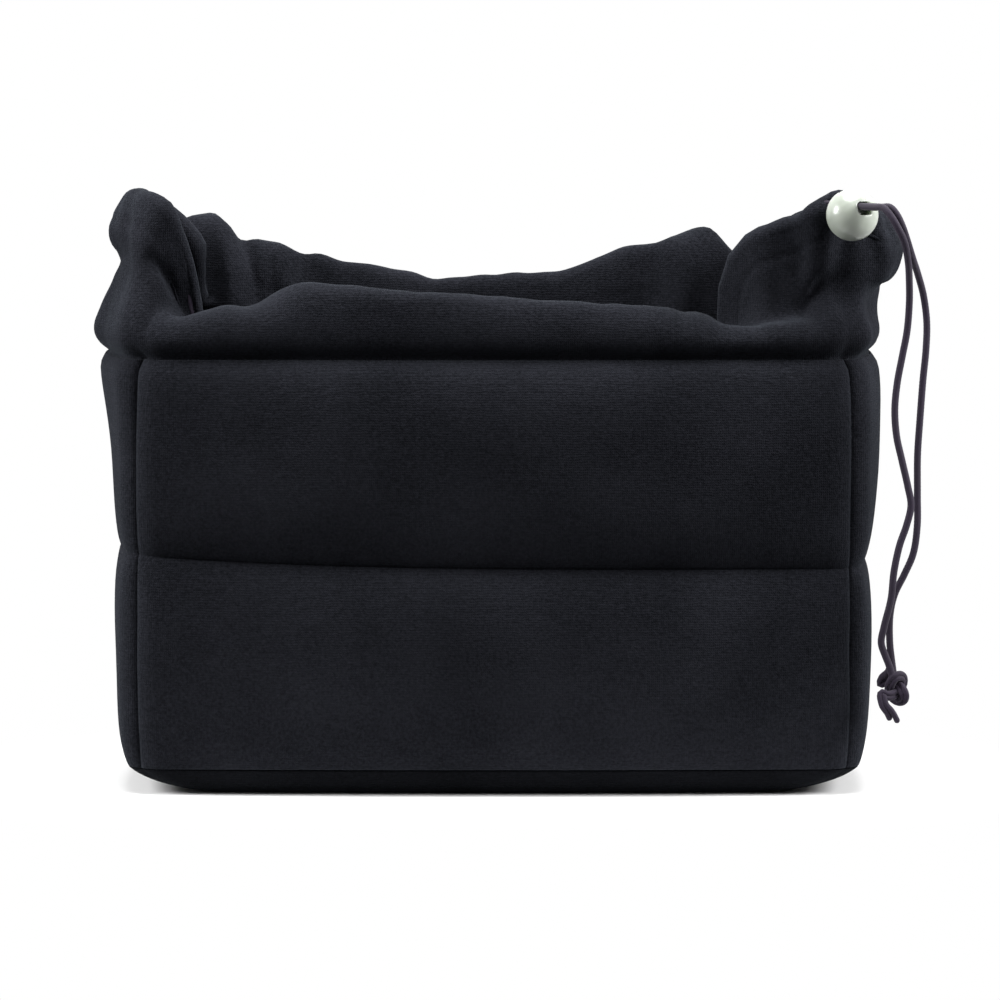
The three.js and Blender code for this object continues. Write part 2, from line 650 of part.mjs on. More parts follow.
const plungerRadius = socketRadius - plungerGap;
const plungerCrown = Array.from({ length: plungerSteps }, (_, i) => {
  const x = plungerRadius * (1 - i / plungerSteps);
  return [x, plungerTop - ballRadius + Math.sqrt(ballRadius ** 2 - x ** 2)];
});
const plungerProfile = [[0, plungerBottom], [plungerRadius, plungerBottom], ...plungerCrown, [0, plungerTop]];
const plungerPoints = plungerProfile.map(([x, y]) => new THREE.Vector2(x, y));
const plungerLathe = new THREE.LatheGeometry(plungerPoints, socketSides);
plungerLathe.rotateX(Math.PI / 2);
const plungerHoleLow = cordHeight - cordRoom / 2;
const plungerHole = block(holeWidth, 3 * plungerRadius, plungerHoleLow, plungerHoleLow + holeHeight);
const plungerBody = solid(plungerLathe).subtract(solid(plungerHole));
add("cord_lock_plunger", geometryOf(plungerBody), milky, lock);

// The spring, one unbroken tube
const stepsPerTurn = 8;
const springSteps = stepsPerTurn * springTurns;
const springFoot = socketFloor + layerGap + springWire / 2;
const springRise = springHeight - springWire;
const springPath = Array.from({ length: springSteps + 1 }, (_, i) => {
  const turn = (2 * Math.PI * i) / stepsPerTurn;
  const z = springFoot + (springRise * i) / springSteps;
  return new THREE.Vector3(springRadius * Math.cos(turn), springRadius * Math.sin(turn), z);
});
const springSides = 5;
const springRings = springPath.map((centre, i) => {
  const out = new THREE.Vector3(centre.x, centre.y, 0).normalize();
  return Array.from({ length: springSides }, (_, k) => {
    const turn = (2 * Math.PI * k) / springSides;
    const r = (springWire / 2) * Math.cos(turn);
    return [centre.x + r * out.x, centre.y + r * out.y, centre.z + (springWire / 2) * Math.sin(turn)];
  });
});
const springCap = Array.from({ length: springSides }, (_, k) => {
  const turn = (2 * Math.PI * k) / springSides;
  return [Math.cos(turn), Math.sin(turn)];
});
add("cord_lock_spring", loft(springRings, false, [springCap, springCap]), steel, lock);
let springGap = Infinity;
springPath.forEach((a, i) => {
  for (const b of springPath.slice(i + stepsPerTurn / 2 + 1)) {
    springGap = Math.min(springGap, a.distanceTo(b) - springWire);
  }
});
console.log("least gap between the spring's turns: " + springGap.toFixed(2) + " mm");

// The dividers: a foam core in a cloth sleeve, with a hook strip on each end
const dividerFoot = floorTop + layerGap;
function endPlate(width, height, thickness) {
  const shape = new THREE.Shape();
  const [w, r] = [width / 2, width / 4];
  shape.moveTo(-w, r);
  shape.absarc(-w + r, r, r, Math.PI, 1.5 * Math.PI);
  shape.absarc(w - r, r, r, 1.5 * Math.PI, 2 * Math.PI);
  shape.absarc(w - r, height - r, r, 0, 0.5 * Math.PI);
  shape.absarc(-w + r, height - r, r, 0.5 * Math.PI, Math.PI);
  const options = { depth: thickness, bevelEnabled: false, curveSegments: 3 };
  return new THREE.ExtrudeGeometry(shape, options);
}
function archShape(halfWidth, height) {
  const shape = new THREE.Shape();
  shape.moveTo(-halfWidth, 0);
  shape.lineTo(halfWidth, 0);
  shape.absarc(0, height - halfWidth, halfWidth, 0, Math.PI);
  return shape;
}
function sleeveShape(halfWidth, height, thickness) {
  const shape = new THREE.Shape();
  const inside = halfWidth - thickness;
  shape.moveTo(halfWidth, 0);
  shape.absarc(0, height - halfWidth, halfWidth, 0, Math.PI);
  shape.lineTo(-halfWidth, 0);
  shape.lineTo(-inside, 0);
  shape.absarc(0, height - halfWidth, inside, Math.PI, 0, true);
  shape.lineTo(inside, 0);
  return shape;
}
function acrossBox(shape, length) {
  const options = { depth: length, bevelEnabled: false, curveSegments: 8 };
  const geometry = new THREE.ExtrudeGeometry(shape, options);
  return geometry.rotateX(Math.PI / 2).translate(0, length / 2, 0);
}
for (const [side, x] of [["left", dividerPlaces[0]], ["right", dividerPlaces[1]]]) {
  const divider = new THREE.Group();
  divider.position.set(x, 0, dividerFoot);
  insert.add(divider);
  const fullest = { pad: "lower", t: 0 };
  const wallFace = halfDepth - depths(walls[0], straightColumn(walls[0], x), fullest).inner;
  const hookFace = wallFace - layerGap;
  const sleeveLength = 2 * (hookFace - hookThickness - layerGap);
  const sleeve = sleeveShape(dividerThickness / 2, dividerHeight, dividerCloth);
  add("divider_" + side + "_cover", acrossBox(sleeve, sleeveLength), cloth, divider);
  const coreHalf = dividerThickness / 2 - dividerCloth - layerGap;
  const core = archShape(coreHalf, dividerHeight - dividerCloth - layerGap);
  add("divider_" + side + "_foam", acrossBox(core, sleeveLength), foam, divider);
  for (const [end, way] of [["front", -1], ["back", 1]]) {
    const plate = endPlate(hookWidth, hookHeight, hookThickness).rotateX(Math.PI / 2);
    const inner = hookFace - hookThickness;
    plate.translate(0, way > 0 ? hookFace : -inner, (dividerHeight - hookHeight) / 2);
    add("divider_" + side + "_hook_" + end, plate, hook, divider);
  }
}

export default insert;
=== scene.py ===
import math
import bpy
import numpy as np
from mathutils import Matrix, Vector, noise


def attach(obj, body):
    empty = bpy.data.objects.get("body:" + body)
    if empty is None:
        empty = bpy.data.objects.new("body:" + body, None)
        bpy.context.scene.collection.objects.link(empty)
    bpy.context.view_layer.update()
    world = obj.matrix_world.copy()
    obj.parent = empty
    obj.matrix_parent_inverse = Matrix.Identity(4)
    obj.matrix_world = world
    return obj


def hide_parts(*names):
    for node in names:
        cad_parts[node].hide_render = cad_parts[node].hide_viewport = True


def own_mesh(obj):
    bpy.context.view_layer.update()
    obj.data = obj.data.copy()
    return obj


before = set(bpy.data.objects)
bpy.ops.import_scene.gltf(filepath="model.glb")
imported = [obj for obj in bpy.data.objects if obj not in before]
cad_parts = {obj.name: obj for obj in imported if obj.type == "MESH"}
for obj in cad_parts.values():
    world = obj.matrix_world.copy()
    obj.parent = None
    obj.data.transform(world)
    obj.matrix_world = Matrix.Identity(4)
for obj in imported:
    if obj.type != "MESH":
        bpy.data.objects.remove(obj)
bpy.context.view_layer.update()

# Lengths below are in millimetres, as in the solids' source, and become metres in each mesh.
MM = 0.001


def sind(a):
    return math.sin(math.radians(a))


def cosd(a):
    return math.cos(math.radians(a))


def lerp(a, b, t):
    return a + (b - a) * t


def smooth(t):
    t = min(max(t, 0.0), 1.0)
    return t * t * (3 - 2 * t)


# Camera: straight on, a little from above, and far off
FRONT_PLANE = -55.0
CAMERA_RISE = 5.0
CAMERA_DISTANCE = 2500.0
target = Vector((2.35, FRONT_PLANE, 107.5))
away = Vector((0, -cosd(CAMERA_RISE), sind(CAMERA_RISE)))
camera_data = bpy.data.cameras.new("camera")
camera_data.sensor_width = 36
camera_data.lens = 249
camera_data.clip_end = 50
camera = bpy.data.objects.new("camera", camera_data)
camera.location = (target + away * CAMERA_DISTANCE) * MM
camera.rotation_euler = (math.radians(90 - CAMERA_RISE), 0, 0)
bpy.context.scene.collection.objects.link(camera)
bpy.context.scene.camera = camera


# Meshes from points in millimetres
def mesh_object(name, points, faces, smooth_shading=True):
    mesh = bpy.data.meshes.new(name)
    mesh.from_pydata([[c * MM for c in p] for p in points], [], faces)
    mesh.update()
    mesh.polygons.foreach_set("use_smooth", [smooth_shading] * len(mesh.polygons))
    obj = bpy.data.objects.new(name, mesh)
    bpy.context.scene.collection.objects.link(obj)
    return obj


def outward(points, faces):
    # Turns all faces round if the closed surface is inside out
    p = np.array(points, float)
    volume = 0.0
    for face in faces:
        a = p[face[0]]
        for k in range(1, len(face) - 1):
            volume += np.dot(a, np.cross(p[face[k]], p[face[k + 1]]))
    return [f[::-1] for f in faces] if volume < 0 else faces


def loft(name, rings):
    # Closed rings of points, joined in order, with a face over each end
    size = len(rings[0])
    points = [p for ring in rings for p in ring]
    faces = []
    for i in range(len(rings) - 1):
        for k in range(size):
            beside = (k + 1) % size
            faces.append((i * size + k, i * size + beside, (i + 1) * size + beside, (i + 1) * size + k))
    faces.append(tuple(reversed(range(size))))
    last = (len(rings) - 1) * size
    faces.append(tuple(last + k for k in range(size)))
    return mesh_object(name, points, outward(points, faces))


# The box's measures, as in the solids; a bow is how far a wall's middle stands out at the bottom,
# at the middle seam and at the top
BOX_LENGTH, BOX_DEPTH, WALL_TOP = 266.0, 110.0, 158.0
MID_SEAM, MID_RISE, BOTTOM_SEAM = 82.4, 5.2, 9.0
WALL, CORNER, CORNER_GAP = 9.0, 12.0, 0.2
EVEN_BOW = (3.0, 3.0, 3.0)
LEFT_BOW = (3.2, 5.2, 12.5)
RIGHT_BOW = (3.2, 5.2, 8.5)
SKIN, LINING, GAP = 1.4, 1.2, 0.3
OUTER_CROWN, INNER_CROWN = 2.2, 1.8
SEAM_SINK, EDGE_SINK, CORNER_SLACK = 2.0, 1.5, 0.65
BEVEL_LENGTH, BEVEL_DEPTH = 25.0, 8.0
HALF_L, HALF_D = BOX_LENGTH / 2, BOX_DEPTH / 2
FOOT = BOTTOM_SEAM + GAP
CAP = WALL_TOP - LINING
FULL_INSET = CORNER * (1 - cosd(45))


class Wall:
    def __init__(self, name, half, reach, along, out, bow):
        self.name, self.half, self.reach = name, half, reach
        self.along, self.out, self.bow = along, out, bow


WALLS = [
    Wall("front", HALF_L, HALF_D, (1, 0), (0, -1), EVEN_BOW),
    Wall("right", HALF_D, HALF_L, (0, 1), (1, 0), RIGHT_BOW),
    Wall("back", HALF_L, HALF_D, (-1, 0), (0, 1), EVEN_BOW),
    Wall("left", HALF_D, HALF_L, (0, -1), (-1, 0), LEFT_BOW),
]


# A column is (place along the wall, the same as a share, inset of the corner, lean)
def straight(wall, place):
    return (place, place / wall.half, 0.0, 0.0)


def corner(wall, turn, side):
    inset = CORNER * (1 - cosd(turn))
    place = wall.half - CORNER + CORNER * sind(turn)
    return (side * place, side * place / (wall.half - inset), inset, side * math.tan(math.radians(turn)))


def fine_columns(wall, step, turns=(9, 18, 27, 36, 45)):
    flat = wall.half - CORNER
    count = max(2, round(2 * flat / step))
    columns = [corner(wall, t, -1) for t in reversed(turns)]
    columns += [straight(wall, flat * (2 * i / count - 1)) for i in range(count + 1)]
    return columns + [corner(wall, t, 1) for t in turns]


def wall_point(wall, column, depth, z, gap=CORNER_GAP):
    place, _, inset, lean = column
    a = place - lean * (depth - inset + gap)
    b = wall.reach - depth
    return (a * wall.along[0] + b * wall.out[0], a * wall.along[1] + b * wall.out[1], z)


def mid_seam(wall, column):
    x = column[1] * wall.half * wall.along[0] + wall.reach * wall.out[0]
    return MID_SEAM + MID_RISE * ((1 - x / HALF_L) / 2) ** 4


def row_height(wall, column, row):
    pad, t = row
    mid = mid_seam(wall, column)
    low, high = (FOOT, mid) if pad == "lower" else (mid, WALL_TOP)
    return low + (high - low) * (t + 1) / 2


def bow_at(wall, column, z):
    bottom, mid, top = wall.bow
    if z < MID_SEAM:
        bow = bottom + (mid - bottom) * (z - FOOT) / (MID_SEAM - FOOT)
    else:
        bow = mid + (top - mid) * (z - MID_SEAM) / (WALL_TOP - MID_SEAM)
    return bow * (1 - column[1] ** 2)


INNER_SINK = WALL - SEAM_SINK - SKIN - LINING - GAP


def depths(wall, column, row):
    # (outer, inner) depth of the wall's faces at a column and row
    _, s, inset, _ = column
    pad, t = row
    full = (1 - abs(t) ** 3) ** 0.6
    bow = bow_at(wall, column, row_height(wall, column, row))
    slack = 1 - CORNER_SLACK * inset / FULL_INSET
    edge = 1 - s ** 6
    near_mid = (pad == "lower") == (t > 0)
    out_sink = SEAM_SINK * slack if near_mid else EDGE_SINK
    in_sink = INNER_SINK * slack if near_mid else 0
    outer = inset - bow + out_sink * (1 - full) - OUTER_CROWN * full * edge
    inner = WALL - bow - in_sink * (1 - full) + INNER_CROWN * full * edge
    return outer, inner


def pad_rows(pad, count):
    # Rows that crowd towards a pad's edges
    return [(pad, -math.cos(math.pi * i / count)) for i in range(count + 1)]


def cloth_noise(x, y, z, size, seed):
    return noise.noise(Vector((x / size + seed, y / size - seed, z / size + 0.7 * seed)))


# Each wall has its own stretch of the unevenness
WALL_APART, PUCKER_REACH = 400, 7.0


def unevenness(wall, column, z, t):
    # Soft unevenness of a quilted face, and the puckers along its middle seam
    place = column[0] + WALL_APART * WALLS.index(wall)
    broad = 0.55 * cloth_noise(place, 0, z, 46, 3.1) + 0.22 * cloth_noise(place, 0, z, 19, 7.7)
    near = abs(z - mid_seam(wall, column)) / PUCKER_REACH
    pucker = 0.35 * math.exp(-near) * cloth_noise(place, 0, 0.35 * z, 6.5, 11.3)
    calm = 1 - abs(t) ** 8
    return broad * calm + pucker


# How far a wall's face draws in under the collar's seam and over what height, how much farther
# in the left wall's upper field lies, and how far the two long walls swell
TOP_SINK, TOP_REACH, LEFT_SLOPE, FACE_SWELL = 1.4, 2.8, 3.4, 3.4
# Inside the corners the cloths of two walls lap, in place of leaving a gap
LAP = -0.3
INNER_ROWS = (-0.93, -0.7, -0.3, 0, 0.3, 0.7, 0.93)


def wall_pad(wall):
    # The outer cloth tucks in at the top, under the collar's seam
    rows = pad_rows("lower", 22)[:-1] + pad_rows("upper", 22)
    inner_rows = [(pad, t) for pad in ("lower", "upper") for t in INNER_ROWS]
    rings = []
    for column in fine_columns(wall, 3.0):
        ring = []
        for row in rows:
            z = row_height(wall, column, row)
            depth = depths(wall, column, row)[0] - unevenness(wall, column, z, row[1])
            depth += TOP_SINK * math.exp(-(((WALL_TOP - z) / TOP_REACH) ** 2))
            if wall.out[0] == 0:
                depth -= FACE_SWELL * (1 - column[1] ** 2) * (1 - row[1] ** 4)
            if wall.name == "left" and row[0] == "upper":
                depth += LEFT_SLOPE * (1 - row[1] ** 2) * (1 - column[1] ** 4)
            ring.append(wall_point(wall, column, depth, z))
        outer, _ = depths(wall, column, ("upper", 1))
        ring.append(wall_point(wall, column, outer + SKIN, WALL_TOP))
        ring.append(wall_point(wall, column, outer + SKIN, CAP - GAP))
        for row in reversed(inner_rows):
            z = min(row_height(wall, column, row), CAP - GAP)
            depth = depths(wall, column, row)[1] - LINING - GAP
            ring.append(wall_point(wall, column, depth, z, LAP))
        outer, _ = depths(wall, column, ("lower", -1))
        ring.append(wall_point(wall, column, outer + SKIN + 2, FOOT))
        rings.append(ring)
    return loft("wall_" + wall.name, rings)


def wall_lining(wall):
    rows = pad_rows("lower", 16)[:-1] + pad_rows("upper", 16)
    rings = []
    for column in fine_columns(wall, 4.0):
        face, back = [], []
        for row in rows:
            z = row_height(wall, column, row)
            depth = depths(wall, column, row)[1] - 0.6 * unevenness(wall, column, z, row[1])
            face.append(wall_point(wall, column, depth, z, LAP))
            if row != rows[-1]:
                back.append(wall_point(wall, column, depth - LINING, min(z, CAP), LAP))
        outer, inner = depths(wall, column, ("upper", 1))
        edge = outer + SKIN + GAP
        middle = (inner + edge) / 2
        cap = [wall_point(wall, column, middle, WALL_TOP + 0.25, LAP)]
        cap.append(wall_point(wall, column, edge, WALL_TOP, LAP))
        cap.append(wall_point(wall, column, edge, CAP, LAP))
        rings.append(face + cap + back[::-1])
    return loft("lining_of_" + wall.name, rings)


# Loops round the whole box, and the base
def loop_round(depth_of, z):
    points = []
    for wall in WALLS:
        for column in fine_columns(wall, 4.0)[:-1]:
            points.append(wall_point(wall, column, depth_of(wall, column), z, 0))
    return points


def base_ring(inwards, down):
    z = BOTTOM_SEAM * (1 - down)
    scale_x = 1 - inwards * BEVEL_LENGTH / HALF_L
    scale_y = 1 - inwards * BEVEL_DEPTH / HALF_D
    loop = loop_round(lambda wall, column: depths(wall, column, ("lower", -1))[0], z)
    ring = []
    for x, y, _ in loop:
        lift = 0.3 * cloth_noise(x, y, 0, 14, 5.0) * math.sin(math.pi * down)
        ring.append((x * scale_x, y * scale_y, z + lift))
    return ring


def shrunk(ring, share, z):
    return [(x * share, y * share, z) for x, y, _ in ring]


def base_pad():
    # The bevel bulges a little between the bottom seam and the flat
    rings = []
    for i in range(13):
        part = i / 12
        down = lerp(part, smooth(part), 0.35) + 0.1 * math.sin(math.pi * part) * (1 - part)
        inwards = lerp(part, part ** 2, 0.6)
        rings.append(base_ring(inwards, min(down, 1.0)))
    flat = rings[-1]
    for share in (0.94, 0.8, 0.6, 0.4, 0.2, 0.02):
        rings.append(shrunk(flat, share, 0.0))
    inside = [shrunk(rings[0], share, BOTTOM_SEAM) for share in (0.02, 0.5, 0.985)]
    return loft("base_pad", inside + rings)


FLOOR_INSET, FLOOR_SWELL = 0.8, 0.12


def floor_depth(wall, column):
    return depths(wall, column, ("lower", -1))[1] + FLOOR_INSET


def floor_lining():
    edge, top = loop_round(floor_depth, FOOT), FOOT + LINING
    rings = [shrunk(edge, share, FOOT) for share in (0.02, 0.5, 1)]
    for share in (1, 0.985, 0.9, 0.7, 0.5, 0.3, 0.15, 0.02):
        rings.append(shrunk(edge, share, top if share == 1 else top + FLOOR_SWELL))
    return loft("floor_lining", rings)


# The collar by wall and place: the height of its cloth, how far it stands rather than rolls over,
# and the directions in degrees of its six lengths from the seam up, in a section of the rim.
# 90 stands up, 0 points outwards, 180 points inwards and 270 hangs down. The cloth hangs more
# finely here than in the solids, so some heights and directions differ from theirs.
COLLAR_LIFT, HEM_RADIUS, COLLAR_BASE = 0.7, 3.75, 1.2
ROLLED = (0.15, 0.17, 0.15, 0.13, 0.2, 0.2)
STANDING = (0.13, 0.12, 0.1, 0.1, 0.28, 0.27)
COLLAR_SHAPE = [
    (0, -1, 59, 0, (66, 104, 116, 112, 92, 104)),
    (0, -0.92, 47, 0, (66, 120, 170, 205, 240, 250)),
    (0, -0.7, 52, 0, (66, 104, 162, 200, 235, 245)),
    (0, -0.5, 54, 0, (70, 90, 102, 150, 262, 268)),
    (0, -0.2, 50, 0, (70, 92, 104, 170, 268, 272)),
    (0, 0.2, 42, -0.3, (64, 94, 118, 178, 268, 272)),
    (0, 0.38, 38, -0.5, (64, 94, 120, 180, 268, 272)),
    (0, 0.45, 38, -0.5, (64, 96, 130, 178, 250, 258)),
    (0, 0.52, 44, 0, (66, 112, 154, 178, 208, 214)),
    (0, 0.71, 45, 0.3, (66, 120, 172, 188, 196, 190)),
    (0, 0.785, 54, 1, (66, 112, 172, 178, 92, 86)),
    (0, 0.85, 54, 1, (66, 112, 162, 158, 84, 78)),
    (0, 0.91, 57, 1, (66, 112, 156, 136, 74, 68)),
    (1, -1, 57.5, 0.7, (64, 108, 132, 100, 74, 76)),
    (1, -0.66, 58, 0, (62, 118, 62, 16, 76, 118)),
    (1, -0.2, 54, 0, (64, 108, 80, 44, 92, 116)),
    (1, 0.5, 49, 0, (68, 92, 88, 94, 100, 105)),
    (2, -0.93, 45, 0, (68, 94, 98, 102, 98, 96)),
    (2, -0.76, 72, 0, (68, 92, 110, 238, 262, 264)),
    (2, -0.69, 73, 0, (68, 92, 110, 238, 262, 264)),
    (2, -0.6, 97, 0, (70, 90, 97, 224, 260, 264)),
    (2, -0.42, 68, 0, (70, 90, 96, 140, 264, 270)),
    (2, -0.15, 53, 0, (70, 92, 104, 170, 266, 272)),
    (2, 0.17, 49, 0, (70, 92, 104, 170, 268, 272)),
    (2, 0.24, 54, 0, (70, 92, 103, 168, 266, 272)),
    (2, 0.41, 58, 0, (70, 90, 96, 156, 262, 270)),
    (2, 0.52, 66, 0, (68, 90, 97, 150, 258, 268)),
    (2, 0.61, 68, 0, (68, 90, 97, 146, 250, 264)),
    (2, 0.69, 73, 0, (68, 90, 97, 134, 236, 260)),
    (2, 0.78, 85, 0, (68, 90, 97, 138, 246, 264)),
    (2, 0.88, 90, 0, (68, 90, 97, 134, 240, 262)),
    (3, -1, 86, 0, (66, 92, 98, 122, 205, 248)),
    (3, -0.84, 66, 0, (66, 100, 108, 116, 150, 190)),
    (3, -0.7, 54, 0, (64, 108, 120, 108, 84, 104)),
    (3, 0, 61, 0, (62, 114, 124, 104, 70, 126)),
]
WALL_STARTS = (0, BOX_LENGTH, BOX_LENGTH + BOX_DEPTH, 2 * BOX_LENGTH + BOX_DEPTH)
LOOP = 2 * (BOX_LENGTH + BOX_DEPTH)


def travel(wall, s):
    return WALL_STARTS[wall] + (s + 1) * WALLS[wall].half


COLLAR_PLACES = [travel(key[0], key[1]) for key in COLLAR_SHAPE]


def shape_at(distance):
    after = next((i for i, place in enumerate(COLLAR_PLACES) if place > distance), 0)
    before = (after - 1) % len(COLLAR_PLACES)
    span = (COLLAR_PLACES[after] - COLLAR_PLACES[before]) % LOOP
    ease = smooth(((distance - COLLAR_PLACES[before]) % LOOP) / span)
    a, b = COLLAR_SHAPE[before], COLLAR_SHAPE[after]
    height, stand = lerp(a[2], b[2], ease), lerp(a[3], b[3], ease)
    ways = [lerp(p, q, ease) for p, q in zip(a[4], b[4])]
    lengths = [height * lerp(p, q, stand) for p, q in zip(ROLLED, STANDING)]
    return lengths, ways


def walk(steps):
    # The points that a line of (length, direction) steps comes to
    points = [(0.0, 0.0)]
    for length, way in steps:
        x, y = points[-1]
        points.append((x + length * cosd(way), y + length * sind(way)))
    return points


SPINE_HALF, HEM_TURN = HALF_L - HALF_D, 33.0


class Station:
    # The collar's section at a column of the rim
    def __init__(self, index, column):
        wall = WALLS[index]
        depth = depths(wall, column, ("upper", 1))[0] + COLLAR_BASE
        x, y, _ = wall_point(wall, column, depth, WALL_TOP, 0)
        spine = min(max(x, -SPINE_HALF), SPINE_HALF)
        length = math.hypot(x - spine, y)
        self.root = (x, y)
        self.out = ((x - spine) / length, y / length)
        self.distance = travel(index, column[1]) % LOOP
        lengths, ways = shape_at(self.distance)
        self.flap = walk(zip(lengths, ways))
        self.last = ways[-1]
        r, z = self.flap[-1]
        turn = self.last + 90
        self.hem = (r + HEM_RADIUS * cosd(turn), z + HEM_RADIUS * sind(turn))

    def place(self, point):
        r, z = point
        x = self.root[0] + r * self.out[0]
        y = self.root[1] + r * self.out[1]
        return Vector((x, y, WALL_TOP + COLLAR_LIFT + z))


# The hem's mouth, where the solids have it, and the cord lock in front of it
hem_mouth = Vector((121.12, -49.23, 214.34))
hem_way = Vector((cosd(HEM_TURN), sind(HEM_TURN), 0))
UP = Vector((0, 0, 1))
hem_out = hem_way.cross(UP)
CORD, PAIR_GAP = 2.6, 0.3
BALL, CORD_HEIGHT, LOCK_YAW = 9.4, 3.4, 30.0
MEETING, LOCK_DISTANCE, LOCK_SLIDE = 6.0, 15.4, 6.0
lock_out = Vector((sind(LOCK_YAW), -cosd(LOCK_YAW), 0))
lock_side = UP.cross(lock_out)
spacing = (CORD + PAIR_GAP) / 2
ball_centre = hem_mouth + lock_out * LOCK_DISTANCE - UP * CORD_HEIGHT
handover = hem_mouth + lock_out * MEETING
left_end = handover - lock_side * spacing
right_end = handover + lock_side * spacing

# The free strands: straight through the lock, then the way they hang, down to the knot
OUTER_HANG = [
    (141.5, -81.3, 214.4), (143.7, -82.9, 211.9), (145.6, -82.7, 208), (147.4, -79.9, 203.2),
    (149.8, -73.2, 196.4), (152.4, -64.8, 189.6), (154.9, -58.2, 181.3), (156.2, -55.9, 171.9),
    (156, -55.4, 162), (155, -55, 151), (154, -55, 137), (153.2, -55, 124),
    (153.2, -55, 110), (153.2, -55, 98), (151.8, -55, 88), (148.6, -55, 80.4),
    (145.2, -55, 73.4), (143.6, -54.6, 66), (143.5, -54.3, 56), (144.4, -54.3, 48),
    (145, -55, 43.5),
]
INNER_HANG = [
    (138.9, -83.1, 214.3), (141.3, -85.1, 211.7), (143.6, -85.7, 207.9), (146.2, -84, 202.6),
    (148, -78.2, 195.4), (149, -69.8, 187.6), (149.4, -63.6, 178.8), (148.8, -60.9, 168.9),
    (147.2, -60.2, 160), (145.4, -60, 150), (144.6, -60, 140.5), (145.3, -60, 131),
    (147.2, -60, 122.5), (149.4, -60, 113), (150.6, -60, 106), (149, -60, 98.6),
    (146.6, -60, 91.6), (144.6, -60, 82), (143.6, -59.6, 72), (141.2, -59, 62),
    (140.2, -58.4, 56), (141.8, -57.7, 51), (143, -57.5, 48),
    (144.3, -57, 43.5),
]


def slope(before, here, after, first, second):
    # The curve's slope in the middle of three points that lie the given spans apart
    return (here - before) / first - (after - before) / (first + second) + (after - here) / second


def spline(points, step):
    # A smooth curve through the points, sampled at an even step
    p = [Vector(q) for q in points]
    p = [p[0] * 2 - p[1]] + p + [p[-1] * 2 - p[-2]]
    line = []
    for i in range(1, len(p) - 2):
        gaps = [max((p[i + k] - p[i + k - 1]).length, 1e-6) ** 0.5 for k in (0, 1, 2)]
        leaving = slope(p[i - 1], p[i], p[i + 1], gaps[0], gaps[1]) * gaps[1]
        arriving = slope(p[i], p[i + 1], p[i + 2], gaps[1], gaps[2]) * gaps[1]
        for k in range(16):
            t = k / 16
            a, b = 2 * t ** 3 - 3 * t ** 2 + 1, t ** 3 - 2 * t ** 2 + t
            line.append(p[i] * a + leaving * b + p[i + 1] * (1 - a) + arriving * (t ** 3 - t ** 2))
    line.append(p[-2])
    lengths = [0.0]
    for a, b in zip(line, line[1:]):
        lengths.append(lengths[-1] + (b - a).length)
    count = max(2, round(lengths[-1] / step))
    even, j = [], 0
    for i in range(count + 1):
        want = lengths[-1] * i / count
        while j < len(lengths) - 2 and lengths[j + 1] < want:
            j += 1
        part = (want - lengths[j]) / max(lengths[j + 1] - lengths[j], 1e-9)
        even.append(line[j].lerp(line[j + 1], min(max(part, 0), 1)))
    return even, lengths[-1]


def frames_along(path):
    # A side and a second side at every point, carried along the path without twist
    ways = []
    for i in range(len(path)):
        ways.append((path[min(i + 1, len(path) - 1)] - path[max(i - 1, 0)]).normalized())
    side = ways[0].orthogonal().normalized()
    sides = []
    for way in ways:
        side = (side - way * side.dot(way)).normalized()
        sides.append((side, way.cross(side)))
    return sides


PLAITS, LAY = 8, 2.6


def braided_tube(name, path, radius, sides=24, relief=0.09, round_ends=False):
    # A cord whose surface rises and falls with two crossing sets of plaits
    sides_at = frames_along(path)
    total = sum((q - p).length for p, q in zip(path, path[1:]))
    rings, along = [], 0.0
    for i, centre in enumerate(path):
        if i:
            along += (centre - path[i - 1]).length
        a, b = sides_at[i]
        shrink = 1.0
        if round_ends:
            to_end = min(along, abs(along - total))
            shrink = min(1.0, math.sqrt(max(0.05, 1 - (1 - min(to_end / radius, 1)) ** 2)))
        ring = []
        for k in range(sides):
            turn = 2 * math.pi * k / sides
            one = math.sin(PLAITS / 2 * turn + 2 * math.pi * along / LAY)
            two = math.sin(PLAITS / 2 * turn - 2 * math.pi * along / LAY)
            r = (radius - relief + relief * max(abs(one), abs(two)) ** 2) * shrink
            ring.append(centre + (a * math.cos(turn) + b * math.sin(turn)) * r)
        rings.append(ring)
    return loft(name, rings)


def strand(name, end, hang):
    start = end + lock_out * GAP
    run = LOCK_DISTANCE + BALL + LOCK_SLIDE + 1 - MEETING
    points = [start + lock_out * (run * k / 4) for k in range(5)] + list(hang)
    path, length = spline(points, 0.65)
    piece = braided_tube(name, path, CORD / 2)
    return piece, path, length


strand_outer, outer_path, outer_length = strand("cord_outer", right_end, OUTER_HANG)
strand_inner, inner_path, inner_length = strand("cord_inner", left_end, INNER_HANG)

# The knot: two strands side by side along an overhand knot, ending in two short tails
KNOT_CENTRE = Vector((145.1, -56, 39))
KNOT_SCALE, KNOT_DEPTH, KNOT_REACH, KNOT_PASSING = 1.75, 1.85, 162.0, 1.7
KNOT_CORD, KNOT_TWIST, KNOT_LOOSE, KNOT_TIGHT = 1.08, 2.4, 1.02, 0.78
KNOT_LEAD = [(144.1, -55.9, 46.9), (143.3, -55.5, 45), (141.4, -53.6, 42.9)]
KNOT_TAIL = [(141.2, -59.9, 33.6), (143.4, -59.4, 30.6), (145.4, -57.6, 26.4)]


